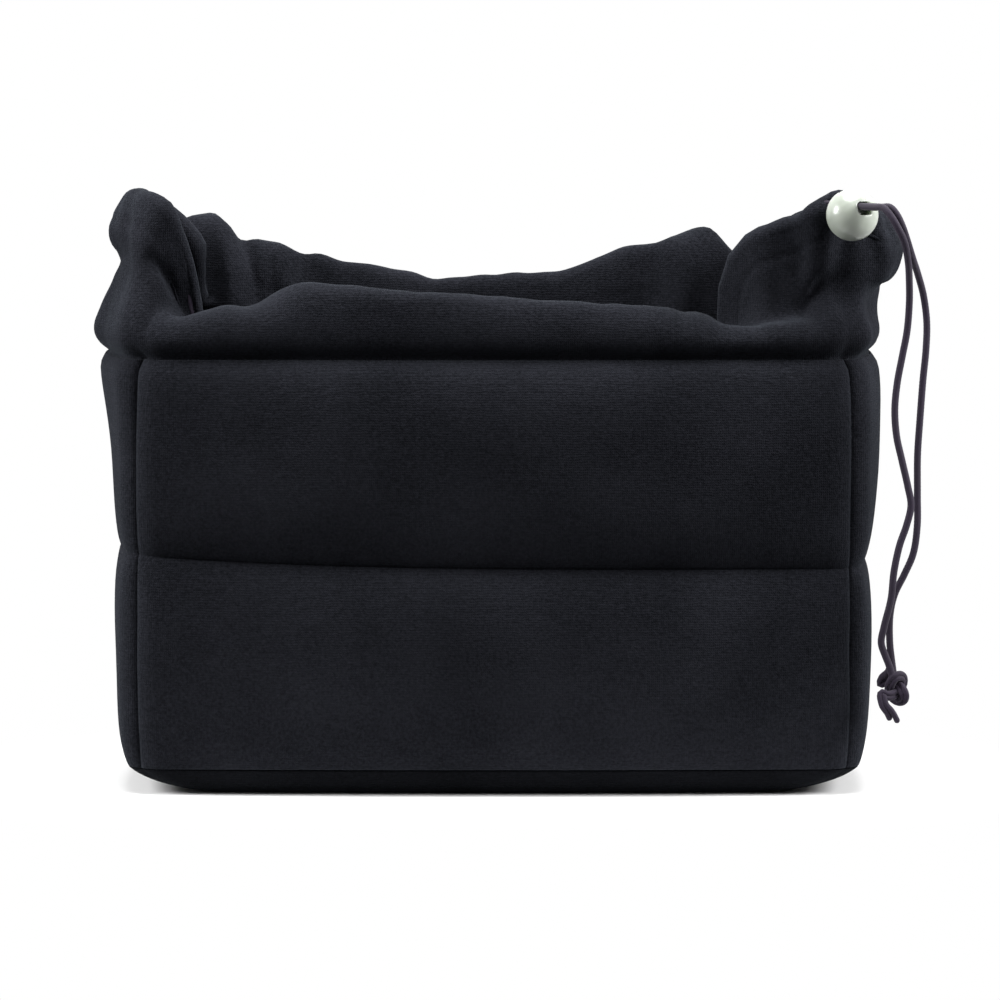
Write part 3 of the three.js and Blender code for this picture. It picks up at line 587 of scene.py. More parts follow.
def knot_path():
    points = [Vector(p) for p in KNOT_LEAD]
    for i in range(24):
        part = 2 * i / 23 - 1
        t = -KNOT_REACH * part
        across = KNOT_SCALE * (cosd(t) - 2 * cosd(2 * t))
        down = KNOT_SCALE * (sind(t) + 2 * sind(2 * t))
        deep = KNOT_DEPTH * sind(3 * t) - KNOT_PASSING * part ** 5
        points.append(KNOT_CENTRE + Vector((across, deep, -down)))
    return points + [Vector(p) for p in KNOT_TAIL]


def knot():
    # Both strands lie on either side of the knot's path, turning slowly round it
    path, _ = spline(knot_path(), 0.5)
    sides_at = frames_along(path)
    parts = []
    for k, way in enumerate((-1, 1)):
        line = []
        for i, p in enumerate(path):
            turn = KNOT_TWIST * i / len(path)
            near = i / (len(path) - 1)
            spread = lerp(KNOT_LOOSE, KNOT_TIGHT, smooth(near * 6))
            spread *= 1 + 0.5 * smooth((near - 0.86) / 0.14)
            a, b = sides_at[i]
            line.append(p + (a * math.cos(turn) + b * math.sin(turn)) * spread * way)
        if way > 0:
            # One tail is cut shorter
            line = line[:-4]
        name = "knot_%d" % k
        parts.append(braided_tube(name, line, KNOT_CORD, sides=18, relief=0.08, round_ends=True))
    return join(parts, "cord_knot")


def join(parts, name):
    # One object from several, in order
    points, faces = [], []
    for part in parts:
        base = len(points)
        points += [tuple(v.co / MM) for v in part.data.vertices]
        faces += [tuple(base + k for k in f.vertices) for f in part.data.polygons]
        bpy.data.objects.remove(part)
    return mesh_object(name, points, faces)


cord_knot = knot()


# The collar's cloth
def rounded(points, passes=3):
    # Cuts a line's corners again and again, with both ends kept
    for _ in range(passes):
        line = [points[0]]
        for a, b in zip(points, points[1:]):
            line.append((lerp(a[0], b[0], 0.25), lerp(a[1], b[1], 0.25)))
            line.append((lerp(a[0], b[0], 0.75), lerp(a[1], b[1], 0.75)))
        line.append(points[-1])
        points = line
    return points


def even_line(points, count):
    p = np.array(points, float)
    gaps = np.hypot(*(p[1:] - p[:-1]).T)
    at = np.concatenate([[0], np.cumsum(gaps)])
    want = np.linspace(0, at[-1], count + 1)
    return list(zip(np.interp(want, at, p[:, 0]), np.interp(want, at, p[:, 1])))


# Points up the flap, round the hem and down its ply
FLAP_STEPS, HEM_STEPS, PLY_STEPS = 46, 14, 7
# The cloth's thickness, how far below its fold the hem is sewn, and the ply's distance there
CLOTH_THICK, HEM_SEAM, PLY_GAP = 1.3, 8.5, 1.4
# How flat the hem is pressed where it hangs and round the mouth
HEM_PRESSED, MOUTH_PRESSED, MOUTH_PRESSED_REACH = 0.34, 0.26, 12
# Passes that even out the collar, how far round a corner they work, how much they do elsewhere,
# and how far from the mouth the hem is held in place
EVENING_PASSES, CORNER_REACH, EVENING_AWAY, MOUTH_REACH = 20, 13.0, 0.06, 13.0


def round_loop(distance, from_place):
    # The shorter way round the collar's loop, with its sign
    return (distance - from_place + LOOP / 2) % LOOP - LOOP / 2


def evened(flaps, distances):
    # Cloth rounds off the box's corners towards the hem: the sections are averaged with their
    # neighbours there. A section's last point is the middle of its hem, and the hem's mouth is
    # kept where the lock's cords leave it.
    rise = np.clip(np.minimum(np.arange(FLAP_STEPS + 2) / FLAP_STEPS, 1) / 0.55, 0, 1) ** 1.5
    to_corner = np.min([np.abs(round_loop(distances, start)) for start in WALL_STARTS], axis=0)
    near = EVENING_AWAY + (1 - EVENING_AWAY) * np.exp(-((to_corner / CORNER_REACH) ** 2))
    weight = (0.5 * near[:, None] * rise[None, :])[:, :, None]
    for _ in range(EVENING_PASSES):
        flaps = flaps + weight * ((np.roll(flaps, 1, 0) + np.roll(flaps, -1, 0)) / 2 - flaps)
    mouth = int(np.argmin(np.linalg.norm(flaps[:, -1] - np.array(hem_mouth), axis=1)))
    from_mouth = np.abs(round_loop(distances, distances[mouth]))
    hold = np.cos(np.clip(from_mouth / MOUTH_REACH, 0, 1) * math.pi / 2) ** 2
    shift = np.array(hem_mouth) - flaps[mouth, -1]
    return flaps + hold[:, None, None] * rise[None, :, None] * shift[None, None, :]


def unit(vectors):
    return vectors / np.linalg.norm(vectors, axis=-1)[..., None]


def hemmed(flaps, hang):
    # Adds the hem round its middle line, square to that line, and the ply that is sewn to the flap.
    # A hem that hangs inside the roll is pressed a little flatter, and so is the mouth's.
    centres = flaps[:, -1]
    along = unit(np.roll(centres, -2, 0) - np.roll(centres, 2, 0))
    up = flaps[:, FLAP_STEPS] - flaps[:, FLAP_STEPS - 5]
    up = sum(np.roll(up, k, 0) * (6 - abs(k)) for k in range(-5, 6))
    up = unit(up - (up * along).sum(1)[:, None] * along)
    out = np.cross(along, up)
    from_mouth = np.linalg.norm(centres - np.array(hem_mouth), axis=1)
    at_mouth = np.exp(-((from_mouth / MOUTH_PRESSED_REACH) ** 2))
    radius = HEM_RADIUS * (1 - HEM_PRESSED * hang - MOUTH_PRESSED * at_mouth)[:, None]
    centres = centres + HEM_RADIUS * (HEM_PRESSED * hang)[:, None] * out
    start = centres + radius * out
    pull = np.clip((np.arange(FLAP_STEPS + 1) / FLAP_STEPS - 0.7) / 0.3, 0, 1) ** 2
    flap = flaps[:, :-1] + pull[None, :, None] * (start - flaps[:, FLAP_STEPS])[:, None, :]
    rest = []
    for i in range(1, HEM_STEPS + 1):
        turn = -90 + 180 * i / HEM_STEPS
        rest.append(centres + radius * (cosd(turn) * up - sind(turn) * out))
    # The ply lies behind the flap and closes in on it down to the seam
    behind = unit(np.cross(np.roll(flap, -1, 0) - np.roll(flap, 1, 0), np.gradient(flap, axis=1)))
    step = np.linalg.norm(np.diff(flap, axis=1), axis=2).mean(1)
    rows = np.arange(len(flap))
    for i in range(1, PLY_STEPS + 1):
        part = i / PLY_STEPS
        at = np.clip(FLAP_STEPS - HEM_SEAM * part / step, 0, FLAP_STEPS - 1e-6)
        low = at.astype(int)
        share = (at - low)[:, None]
        on_flap = flap[rows, low] * (1 - share) + flap[rows, low + 1] * share
        rest.append(on_flap - lerp(2 * radius, PLY_GAP, smooth(part)) * behind[rows, low])
    return np.concatenate([flap, np.stack(rest, 1)], axis=1), centres


# The cloth's lower edge lies in the rim's seam, below the foot of the flap, and the flap bulges
# out again above it
TUCK, FOOT_SINK, FOOT_RISE = (0.0, -2.4), 2.4, 3.0


def footed(points):
    line = []
    for r, z in [TUCK] + points:
        line.append((r - FOOT_SINK * math.exp(-((max(z, 0) / FOOT_RISE) ** 2)), z))
    return line


# Folds that run up the flap: wall, place, width in mm, how far they stand out, and the shares of
# the flap's height between which they rise
FOLDS = [
    (0, -0.99, 4.5, 2.2, 0.25, 0.7),
    (0, -0.9, 4.5, -1.6, 0.3, 0.8),
    (0, 0.66, 5.0, -1.6, 0.5, 0.9),
    (0, 0.8, 4.0, 2.6, 0.5, 0.85),
    (0, 0.88, 3.6, -2.2, 0.55, 0.85),
    (0, 0.97, 4.5, 2.6, 0.35, 0.8),
    (1, -0.75, 5.0, -2.6, 0.3, 0.8),
    (1, -0.4, 5.0, 2.6, 0.4, 0.8),
    (1, 0.3, 6.0, -2.6, 0.3, 0.8),
    (2, -0.9, 5.0, 2.6, 0.3, 0.7),
    (2, -0.74, 4.0, -2.8, 0.3, 0.8),
    (2, -0.5, 5.0, 2.2, 0.2, 0.8),
    (2, 0.54, 5.0, -3.6, 0.3, 0.7),
    (2, 0.63, 5.0, 4.2, 0.3, 0.7),
    (2, 0.73, 4.5, -5.0, 0.3, 0.65),
    (2, 0.82, 4.5, 5.4, 0.3, 0.6),
    (2, 0.91, 4.0, -3.4, 0.3, 0.6),
    (3, -0.95, 5.0, -1.4, 0.25, 0.6),
    (3, -0.6, 5.0, 1.2, 0.35, 0.8),
    (3, -0.2, 6.0, -2.4, 0.4, 0.8),
    (3, 0.5, 6.0, 1.2, 0.3, 0.8),
]


def folds_at(distance, v):
    rise = 0.0
    for wall, s, width, height, low, high in FOLDS:
        # A fold leans by its own width and a half either way
        away = (distance - travel(wall, s) + 3 * (v - 0.5) * width + LOOP / 2) % LOOP - LOOP / 2
        if abs(away) < 3 * width:
            rise += height * math.exp(-((away / width) ** 2)) * smooth((v - low) / (high - low))
    return rise


# Short dents across the flap: wall, place, share of its height, half width in mm, half height as a
# share, and depth
DENTS = [
    (0, -0.995, 0.74, 6.0, 0.07, 3.2),
    (0, 0.93, 0.5, 9.0, 0.07, 2.2),
    (1, 0.1, 0.6, 12.0, 0.08, 2.4),
    (3, 0.4, 0.66, 11.0, 0.08, 2.6),
]


def dents_at(distance, v):
    sink = 0.0
    for wall, s, height, width, tall, depth in DENTS:
        away = round_loop(distance, travel(wall, s))
        level = v - height - 0.05 * away / width
        sink += depth * math.exp(-((away / width) ** 2) - (level / tall) ** 2)
    return sink


# Small pleats, wide pleats and lumps: the length of each, and how far it stands out
SMALL_LENGTH, WIDE_LENGTH, LUMP_LENGTH = 3.6, 7.5, 21
SMALL_RISE, WIDE_RISE, LUMP_RISE = 1.15, 2.3, 2.6
PLEAT_REACH, GROOVE_REACH, GROOVE_DEPTH = 5.5, 1.3, 0.4


def gather(distance, v, from_hem, hang):
    # How far the cloth stands off its even shape. Pleats run up the flap, small and close at the
    # hem's seam and wider below it. Lumps and dents lie over them, and all fade out at the foot.
    a = 2 * math.pi * distance / LOOP
    ring = Vector((math.cos(a), math.sin(a), 0)) * (LOOP / (2 * math.pi))
    lean = Vector((0, 0, 9 * v))
    small = noise.noise(ring / SMALL_LENGTH + lean / 14 + Vector((4.1, 0, 0)))
    wide = noise.noise(ring / WIDE_LENGTH + lean / 9 + Vector((0, 8.3, 0)))
    lump = noise.noise((ring + lean * 3.2) / LUMP_LENGTH + Vector((0, 0, 3.3)))
    grown = smooth(v / 0.3)
    at_seam = math.exp(-(((from_hem - HEM_SEAM) / PLEAT_REACH) ** 2))
    pleats = SMALL_RISE * small * (0.25 + 0.75 * at_seam) * grown
    pleats += WIDE_RISE * wide * grown * lerp(0.55, 1, v)
    groove = GROOVE_DEPTH * math.exp(-(((from_hem - HEM_SEAM) / GROOVE_REACH) ** 2)) * grown
    off = (pleats + LUMP_RISE * lump * grown) * (1 - 0.45 * hang) + folds_at(distance, v)
    off -= groove + dents_at(distance, v)
    # Cloth that hangs inside is held smoother
    return lerp(off, max(off, -0.5) if v < 0.5 else 0.5 * off, hang)


# The hem's mouth: half its width along the hem, half its height, and how far out it lies
MOUTH_HALF_WIDTH, MOUTH_HALF_HEIGHT, MOUTH_NEAR, MOUTH_FAR = 2.9, 1.9, 1.8, 6.4


def in_mouth(place):
    wide = abs(place.dot(hem_way)) < MOUTH_HALF_WIDTH
    return wide and abs(place.z) < MOUTH_HALF_HEIGHT and MOUTH_NEAR < place.dot(hem_out) < MOUTH_FAR


def even_collar():
    # The collar without its folds: its stations, its grid of points and the middle of its hem
    stations = []
    for index, wall in enumerate(WALLS):
        for column in fine_columns(wall, 2.0, turns=(7.5, 15, 22.5, 30, 37.5, 45))[:-1]:
            stations.append(Station(index, column))
    flaps = []
    for station in stations:
        line = even_line(footed(rounded(station.flap)), FLAP_STEPS) + [station.hem]
        flaps.append([station.place(p) for p in line])
    flaps = evened(np.array(flaps), np.array([s.distance for s in stations]))
    hangs = np.array([smooth((s.last - 200) / 50) for s in stations])
    even, hem_middle = hemmed(flaps, hangs)
    return stations, hangs, even, hem_middle


def collar():
    stations, hangs, even, hem_middle = even_collar()
    along = np.roll(even, -1, 0) - np.roll(even, 1, 0)
    normals = unit(np.cross(along, np.gradient(even, axis=1)))
    grid = even.copy()
    for i, station in enumerate(stations):
        length = sum(np.linalg.norm(even[i, k + 1] - even[i, k]) for k in range(FLAP_STEPS))
        for k in range(even.shape[1]):
            v = min(k / FLAP_STEPS, 1.0)
            off = gather(station.distance, v, length * (1 - v), hangs[i])
            if k > FLAP_STEPS:
                round_hem = min((k - FLAP_STEPS) / HEM_STEPS, 1)
                bulge = math.sin(math.pi * round_hem)
                off = off * cosd(180 * round_hem) * (1 - 0.4 * bulge) + 0.3 * abs(off) * bulge
            grid[i, k] += normals[i, k] * off
    # The cord moves with the hem it lies in
    moved = grid - even
    hem_middle = hem_middle + (moved[:, FLAP_STEPS] + moved[:, FLAP_STEPS + HEM_STEPS]) / 2
    size = grid.shape[1]
    points = [Vector(p) for row in grid for p in row]
    faces = []
    for i in range(len(grid)):
        j = (i + 1) % len(grid)
        for k in range(size - 1):
            face = (i * size + k, i * size + k + 1, j * size + k + 1, j * size + k)
            centre = sum((points[q] for q in face), Vector()) / 4
            if not in_mouth(centre - hem_mouth):
                faces.append(face)
    piece = mesh_object("collar_cloth", points, faces)
    area = sum(p.area for p in piece.data.polygons)
    thicken = piece.modifiers.new("cloth", "SOLIDIFY")
    thicken.thickness = CLOTH_THICK * MM
    thicken.offset = 0
    return piece, area, [Vector(c) for c in hem_middle]


collar_cloth, collar_area, hem_centres = collar()


# The stretch of cord in the hem, which leaves the hem's middle near the mouth and bends out
BEND_ROOM, BEND_RIGHT, BEND_LEFT, BEND_OUT, END_RUN = 8.5, 4.6, 4.4, 0.9, 3.4


def hem_cord():
    near = min(range(len(hem_centres)), key=lambda i: (hem_centres[i] - hem_mouth).length)
    order = hem_centres[near:] + hem_centres[:near]
    right_bend = hem_mouth + hem_way * BEND_RIGHT + lock_out * BEND_OUT
    left_bend = hem_mouth - hem_way * BEND_LEFT + lock_out * BEND_OUT
    points = [right_end, right_end - lock_out * END_RUN, right_bend]
    points += [p for p in order if (p - hem_mouth).length > BEND_ROOM]
    points += [left_bend, left_end - lock_out * END_RUN, left_end]
    path, _ = spline(points, 1.3)
    return braided_tube("cord_in_hem", path, CORD / 2, sides=16)


cord_in_hem = hem_cord()


# The lock's pieces are made upright on its own axis, then turned and put in place
def in_lock(point):
    x, y, z = point
    return (
        ball_centre.x + x * cosd(LOCK_YAW) - y * sind(LOCK_YAW),
        ball_centre.y + x * sind(LOCK_YAW) + y * cosd(LOCK_YAW),
        ball_centre.z + z,
    )


def lathe(profile, sides):
    # Rings of a profile of (radius, height) pairs
    turns = [360 * k / sides for k in range(sides)]
    return [[in_lock((r * cosd(turn), r * sind(turn), z)) for turn in turns] for r, z in profile]


SOCKET, TRAVEL = 4.9, 1.6
PLUNGER_BOTTOM, PLUNGER_TOP = -1.6, 9.3
PLAY, HOLE_ROUND, HOLE_REACH = 0.7, 1.6, 14
ROOM = CORD + PLAY
HOLE_WIDTH = 2 * CORD + PAIR_GAP + PLAY
SPRING_HEIGHT, SPRING_WIRE, SPRING_RADIUS, SPRING_TURNS = 4.0, 0.6, 3.2, 3.25
SOCKET_FLOOR = PLUNGER_BOTTOM - SPRING_HEIGHT - 2 * GAP


def cut_hole(piece, low, high):
    # A rounded slot through a piece, for the two strands
    outline = []
    height = (high - low) / 2
    radius = min(height, HOLE_ROUND)
    for side_x, side_z, start in ((1, 1, 0), (-1, 1, 90), (-1, -1, 180), (1, -1, 270)):
        for k in range(7):
            turn = start + 15 * k
            x = side_x * (HOLE_WIDTH / 2 - radius) + radius * cosd(turn)
            z = (low + high) / 2 + side_z * (height - radius) + radius * sind(turn)
            outline.append((x, z))
    rings = [[in_lock((x, y, z)) for x, z in outline] for y in (-HOLE_REACH, HOLE_REACH)]
    cutter = loft("cutter", rings)
    boolean = piece.modifiers.new("hole", "BOOLEAN")
    boolean.operation = "DIFFERENCE"
    boolean.solver = "EXACT"
    boolean.object = cutter
    settle(piece)
    bpy.data.objects.remove(cutter)


def settle(piece):
    # Applies the piece's modifiers to its mesh
    depsgraph = bpy.context.evaluated_depsgraph_get()
    mesh = bpy.data.meshes.new_from_object(piece.evaluated_get(depsgraph))
    piece.modifiers.clear()
    piece.data = mesh


def lock_ball():
    rim = math.sqrt(BALL ** 2 - SOCKET ** 2)
    profile = [(0.02, -BALL)]
    top = math.degrees(math.atan2(rim, SOCKET))
    for k in range(1, 45):
        turn = lerp(-90, top - 3, k / 44)
        profile.append((BALL * cosd(turn), BALL * sind(turn)))
    profile += [(SOCKET + 0.32, rim - 0.16), (SOCKET + 0.08, rim - 0.3), (SOCKET, rim - 0.6)]
    profile += [(SOCKET, SOCKET_FLOOR), (0.02, SOCKET_FLOOR)]
    piece = loft("lock_ball", lathe(profile, 72))
    cut_hole(piece, CORD_HEIGHT + ROOM / 2 - ROOM - TRAVEL, CORD_HEIGHT + ROOM / 2)
    return piece


def lock_plunger():
    radius = SOCKET - GAP
    profile = [(0.02, PLUNGER_BOTTOM), (radius - 0.4, PLUNGER_BOTTOM), (radius, PLUNGER_BOTTOM + 0.4)]
    drop = PLUNGER_TOP - BALL
    edge = radius - 0.35
    profile.append((radius, drop + math.sqrt(BALL ** 2 - radius ** 2) - 0.35))
    for k in range(9):
        r = max(edge * (1 - k / 8), 0.02)
        profile.append((r, drop + math.sqrt(BALL ** 2 - r ** 2)))
    piece = loft("lock_plunger", lathe(profile, 56))
    low = CORD_HEIGHT - ROOM / 2
    cut_hole(piece, low, low + ROOM + TRAVEL)
    return piece


def lock_spring():
    foot = SOCKET_FLOOR + GAP + SPRING_WIRE / 2
    rise = SPRING_HEIGHT - SPRING_WIRE
    count = 120
    path = []
    for i in range(count + 1):
        turn = 360 * SPRING_TURNS * i / count
        point = (SPRING_RADIUS * cosd(turn), SPRING_RADIUS * sind(turn), foot + rise * i / count)
        path.append(Vector(in_lock(point)))
    rings = []
    for centre, (a, b) in zip(path, frames_along(path)):
        rings.append([centre + (a * cosd(36 * k) + b * sind(36 * k)) * SPRING_WIRE / 2 for k in range(10)])
    return loft("lock_spring", rings)


ball, plunger, spring = lock_ball(), lock_plunger(), lock_spring()

# The dividers: a padded sleeve with a strip of hooks at both ends
DIVIDER_X, DIVIDER_HEIGHT, DIVIDER_THICK = (-42.0, 42.0), 128.0, 10.0
HOOK_THICK, HOOK_HEIGHT, HOOK_WIDTH, HOOK_RELIEF = 1.6, 112.0, 8.0, 0.28
DIVIDER_FOOT = FOOT + LINING + GAP
DIVIDER_PINCH, DIVIDER_SWELL = 0.32, 0.25


def hook_face_at(x):
    # How far from the middle the hooks reach, just short of the lining
    _, inner = depths(WALLS[0], straight(WALLS[0], x), ("lower", 0))
    return HALF_D - inner - GAP


def divider_outline(half):
    # A slab's section, round at the top
    shoulder = DIVIDER_HEIGHT - half
    rows = 24
    outline = [(half, lerp(0, shoulder, k / rows)) for k in range(rows + 1)]
    outline += [(half * cosd(12 * k), shoulder + half * sind(12 * k)) for k in range(1, 16)]
    return outline + [(-half, lerp(shoulder, 0, k / rows)) for k in range(rows + 1)]


def divider_sleeve(name, x):
    half_length = hook_face_at(x) - HOOK_THICK - GAP
    half = DIVIDER_THICK / 2
    shoulder = DIVIDER_HEIGHT - half
    count = 40
    rings = []
    for i in range(count + 1):
        share = math.sin(math.pi * (i / count - 0.5))
        y = half_length * share
        pinch = 1 - DIVIDER_PINCH * abs(share) ** 14
        ring = []
        for px, pz in divider_outline(half):
            swell = DIVIDER_SWELL * cloth_noise(px + x, y, pz, 22, 2.0)
            px = px * pinch + math.copysign(min(swell, 0.0), px)
            pz = pz if pz < shoulder else shoulder + (pz - shoulder) * pinch
            ring.append((x + px, y, DIVIDER_FOOT + max(pz, 0.0)))
        rings.append(ring)
    return loft(name, rings)


def hook_strip(name, x, way):
    # A flat strip with round corners, whose face is a field of small raised points
    cols, steps = 12, 150
    radius = HOOK_WIDTH / 4
    low = DIVIDER_FOOT + (DIVIDER_HEIGHT - HOOK_HEIGHT) / 2
    back = hook_face_at(x) - HOOK_THICK
    face = hook_face_at(x) - HOOK_RELIEF
    points, faces = [], []
    for layer in (0, 1):
        for i in range(steps + 1):
            z = HOOK_HEIGHT * i / steps
            edge = min(z, HOOK_HEIGHT - z)
            inset = radius - math.sqrt(max(radius ** 2 - (radius - edge) ** 2, 0)) if edge < radius else 0
            for k in range(cols + 1):
                u = 2 * k / cols - 1
                raised = HOOK_RELIEF if (i + k) % 2 and 0 < k < cols and 0 < i < steps else 0
                depth = back if layer == 0 else face + raised
                points.append((x + u * (HOOK_WIDTH / 2 - inset), way * depth, low + z))
    row = cols + 1
    layer_size = row * (steps + 1)
    for i in range(steps):
        for k in range(cols):
            a = i * row + k
            b = layer_size + a
            faces.append((a, a + 1, a + row + 1, a + row))
            faces.append((b, b + row, b + row + 1, b + 1))
    rim = list(range(row)) + [i * row + cols for i in range(1, steps + 1)]
    rim += [steps * row + k for k in range(cols - 1, -1, -1)]
    rim += [i * row for i in range(steps - 1, 0, -1)]
    for a, b in zip(rim, rim[1:] + rim[:1]):
        faces.append((b, a, layer_size + a, layer_size + b))
    return mesh_object(name, points, outward(points, faces), False)


def divider(side, x):
    body = "divider_" + side
    sleeve = divider_sleeve(body + "_sleeve", x)
    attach(sleeve, body)
    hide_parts(body + "_cover", body + "_foam")
    strips = []
    for end, way in (("front", -1), ("back", 1)):
        strip = hook_strip(body + "_strip_" + end, x, way)
        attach(strip, body)
        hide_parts(body + "_hook_" + end)
        strips.append(strip)
    return sleeve, strips


left_sleeve, left_strips = divider("left", DIVIDER_X[0])
right_sleeve, right_strips = divider("right", DIVIDER_X[1])
sleeves = [left_sleeve, right_sleeve]
strips = left_strips + right_strips

pads = [wall_pad(wall) for wall in WALLS]
linings = [wall_lining(wall) for wall in WALLS]
base = base_pad()
floor_cloth = floor_lining()


# Materials
def new_material(name):
    material = bpy.data.materials.new(name)
    material.use_nodes = True
    tree = material.node_tree
    return material, tree.nodes, tree.links, tree.nodes["Principled BSDF"]


def linear(rgb):
    shares = [value / 255 for value in rgb]
    return tuple(c / 12.92 if c <= 0.04045 else ((c + 0.055) / 1.055) ** 2.4 for c in shares)


def node(nodes, kind, **values):
    made = nodes.new(kind)
    for key, value in values.items():
        if key in made.inputs:
            made.inputs[key].default_value = value
        else:
            setattr(made, key, value)
    return made


def combined(nodes, links, kind, operation, *sources):
    # A maths node, fed by other nodes' outputs and plain values
    made = node(nodes, kind, operation=operation)
    for k, source in enumerate(sources):
        if isinstance(source, bpy.types.NodeSocket):
            links.new(source, made.inputs[k])
        else:
            made.inputs[k].default_value = source
    return made.outputs[0]


def speckled(nodes, links, dark, light, scale):
    # Two tones of one colour in fine specks over broad, faint patches
    coordinates = node(nodes, "ShaderNodeTexCoord")
    fine = node(nodes, "ShaderNodeTexNoise", Scale=scale, Detail=3.0, Roughness=0.7)
    broad = node(nodes, "ShaderNodeTexNoise", Scale=22.0, Detail=2.0)
    links.new(coordinates.outputs["Object"], fine.inputs["Vector"])
    links.new(coordinates.outputs["Object"], broad.inputs["Vector"])
    mixed = node(nodes, "ShaderNodeMix", data_type="FLOAT")
    mixed.inputs[0].default_value = 0.35
    links.new(fine.outputs["Fac"], mixed.inputs[2])
    links.new(broad.outputs["Fac"], mixed.inputs[3])
    ramp = node(nodes, "ShaderNodeValToRGB")
    ramp.color_ramp.elements[0].position = 0.34
    ramp.color_ramp.elements[0].color = (*linear(dark), 1)
    ramp.color_ramp.elements[1].position = 0.66
    ramp.color_ramp.elements[1].color = (*linear(light), 1)
    links.new(mixed.outputs[0], ramp.inputs["Fac"])
    return coordinates, fine, ramp


def add_bump(nodes, links, shader, source, strength, distance):
    height = node(nodes, "ShaderNodeBump", Strength=strength, Distance=distance)
    links.new(source, height.inputs["Height"])
    links.new(height.outputs["Normal"], shader.inputs["Normal"])


def cloth_material(name, dark, light, stitch, bump, sheen):
    material, nodes, links, shader = new_material(name)
    coordinates, fine, ramp = speckled(nodes, links, dark, light, 900.0)
    links.new(ramp.outputs["Color"], shader.inputs["Base Color"])
    # A fine knit: rows of loops across and up, broken up by the fibres' noise
    waves = []
    for direction, scale in (("X", stitch), ("Z", stitch * 0.8), ("Y", stitch)):
        wave = node(nodes, "ShaderNodeTexWave", Scale=scale, Distortion=4.5, Detail=2.0)
        wave.bands_direction = direction
        links.new(coordinates.outputs["Object"], wave.inputs["Vector"])
        waves.append(wave.outputs["Fac"])
    across, upward, deep = waves
    knit = combined(nodes, links, "ShaderNodeMath", "MULTIPLY", across, upward)
    knit = combined(nodes, links, "ShaderNodeMath", "MULTIPLY_ADD", deep, 0.4, knit)
    knit = combined(nodes, links, "ShaderNodeMath", "MULTIPLY_ADD", fine.outputs["Fac"], 2.2, knit)
    add_bump(nodes, links, shader, knit, bump, 0.0006)
    shader.inputs["Roughness"].default_value = 0.93
    shader.inputs["Sheen Weight"].default_value = sheen
    shader.inputs["Sheen Roughness"].default_value = 0.45
    shader.inputs["Sheen Tint"].default_value = (*linear((200, 216, 232)), 1)
    shader.inputs["Specular IOR Level"].default_value = 0.03
    return material


cloth_black = cloth_material("black_cloth", (19, 20, 24), (42, 43, 49), 420.0, 0.35, 0.05)
# The base's cloth is the black cloth made darker and with less sheen. This is painted shade for the bevel
# that faces down.
base_painted_shade_black = cloth_material("base_cloth_painted_shade", (9, 10, 12), (24, 25, 29), 420.0, 0.35, 0.02)
lining_black = cloth_material("lining_cloth", (19, 20, 23), (44, 45, 50), 340.0, 0.8, 0.05)


def plain_material(name, dark, light, scale, bump, distance, sockets):
    # Fine specks and a light grain, with the shader's other sockets as given
    material, nodes, links, shader = new_material(name)
    _, fine, ramp = speckled(nodes, links, dark, light, scale)
    links.new(ramp.outputs["Color"], shader.inputs["Base Color"])
    add_bump(nodes, links, shader, fine.outputs["Fac"], bump, distance)
    for socket, value in sockets.items():
        shader.inputs[socket].default_value = value
    return material


cord_dark = plain_material(
    "cord", (20, 14, 26), (44, 34, 54), 2400.0, 0.4, 0.0002,
    {"Roughness": 0.75, "Sheen Weight": 0.1, "Specular IOR Level": 0.3},
)
hook_dark = plain_material(
    "hook_strip", (9, 9, 11), (22, 22, 26), 3000.0, 0.6, 0.0003, {"Roughness": 0.55},
)
milky = plain_material(
    "milky_plastic", (168, 175, 164), (192, 198, 188), 60.0, 0.08, 0.0003,
    {"Roughness": 0.28, "Subsurface Weight": 0.6, "Subsurface Radius": (0.006, 0.0062, 0.0055),
     "Subsurface Scale": 1.0, "Coat Weight": 0.3, "Coat Roughness": 0.15},
)
steel = plain_material(
    "spring_steel", (140, 142, 146), (176, 178, 182), 1500.0, 0.15, 0.0001,
    {"Metallic": 1.0, "Roughness": 0.32},
)


def dress(piece, material):
    piece.data.materials.clear()
    piece.data.materials.append(material)


def fit(piece, material, slot, body, *solids):
    # Dresses a piece that moves with a body and is shown in place of some of its solids
    dress(piece, material)
    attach(piece, body)
    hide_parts(*solids)


BODY = "insert"
for wall, piece in zip(WALLS, pads):
    foam = "foam_" + wall.name
    fit(piece, cloth_black, "cloth", BODY, "outer_" + wall.name, foam + "_lower", foam + "_upper")
for wall, piece in zip(WALLS, linings):
    fit(piece, lining_black, "lining", BODY, "lining_" + wall.name)
# The base wears the copy of the black cloth that has painted shade
fit(base, base_painted_shade_black, "cloth", BODY, "outer_bottom", "foam_bottom")
fit(floor_cloth, lining_black, "lining", BODY, "lining_bottom")
fit(collar_cloth, cloth_black, "cloth", BODY, "collar")
fit(cord_in_hem, cord_dark, "cord", BODY, "drawcord_in_hem")
fit(strand_outer, cord_dark, "cord", BODY, "drawcord_strand_outer")
fit(strand_inner, cord_dark, "cord", BODY, "drawcord_strand_inner")
fit(cord_knot, cord_dark, "cord", BODY, "drawcord_knot")
for piece in sleeves:
    dress(piece, lining_black)
for piece in strips:
    dress(piece, hook_dark)
fit(ball, milky, "milky_plastic", "cord_lock", "cord_lock_body")
fit(plunger, milky, "milky_plastic", "plunger", "cord_lock_plunger")
fit(spring, steel, "steel", "cord_lock", "cord_lock_spring")
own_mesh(spring)


# Floor, lights and the white surroundings
FLOOR_REACH, FLOOR_DROP, FLOOR_FADE = 3000, 0.2, 100.0


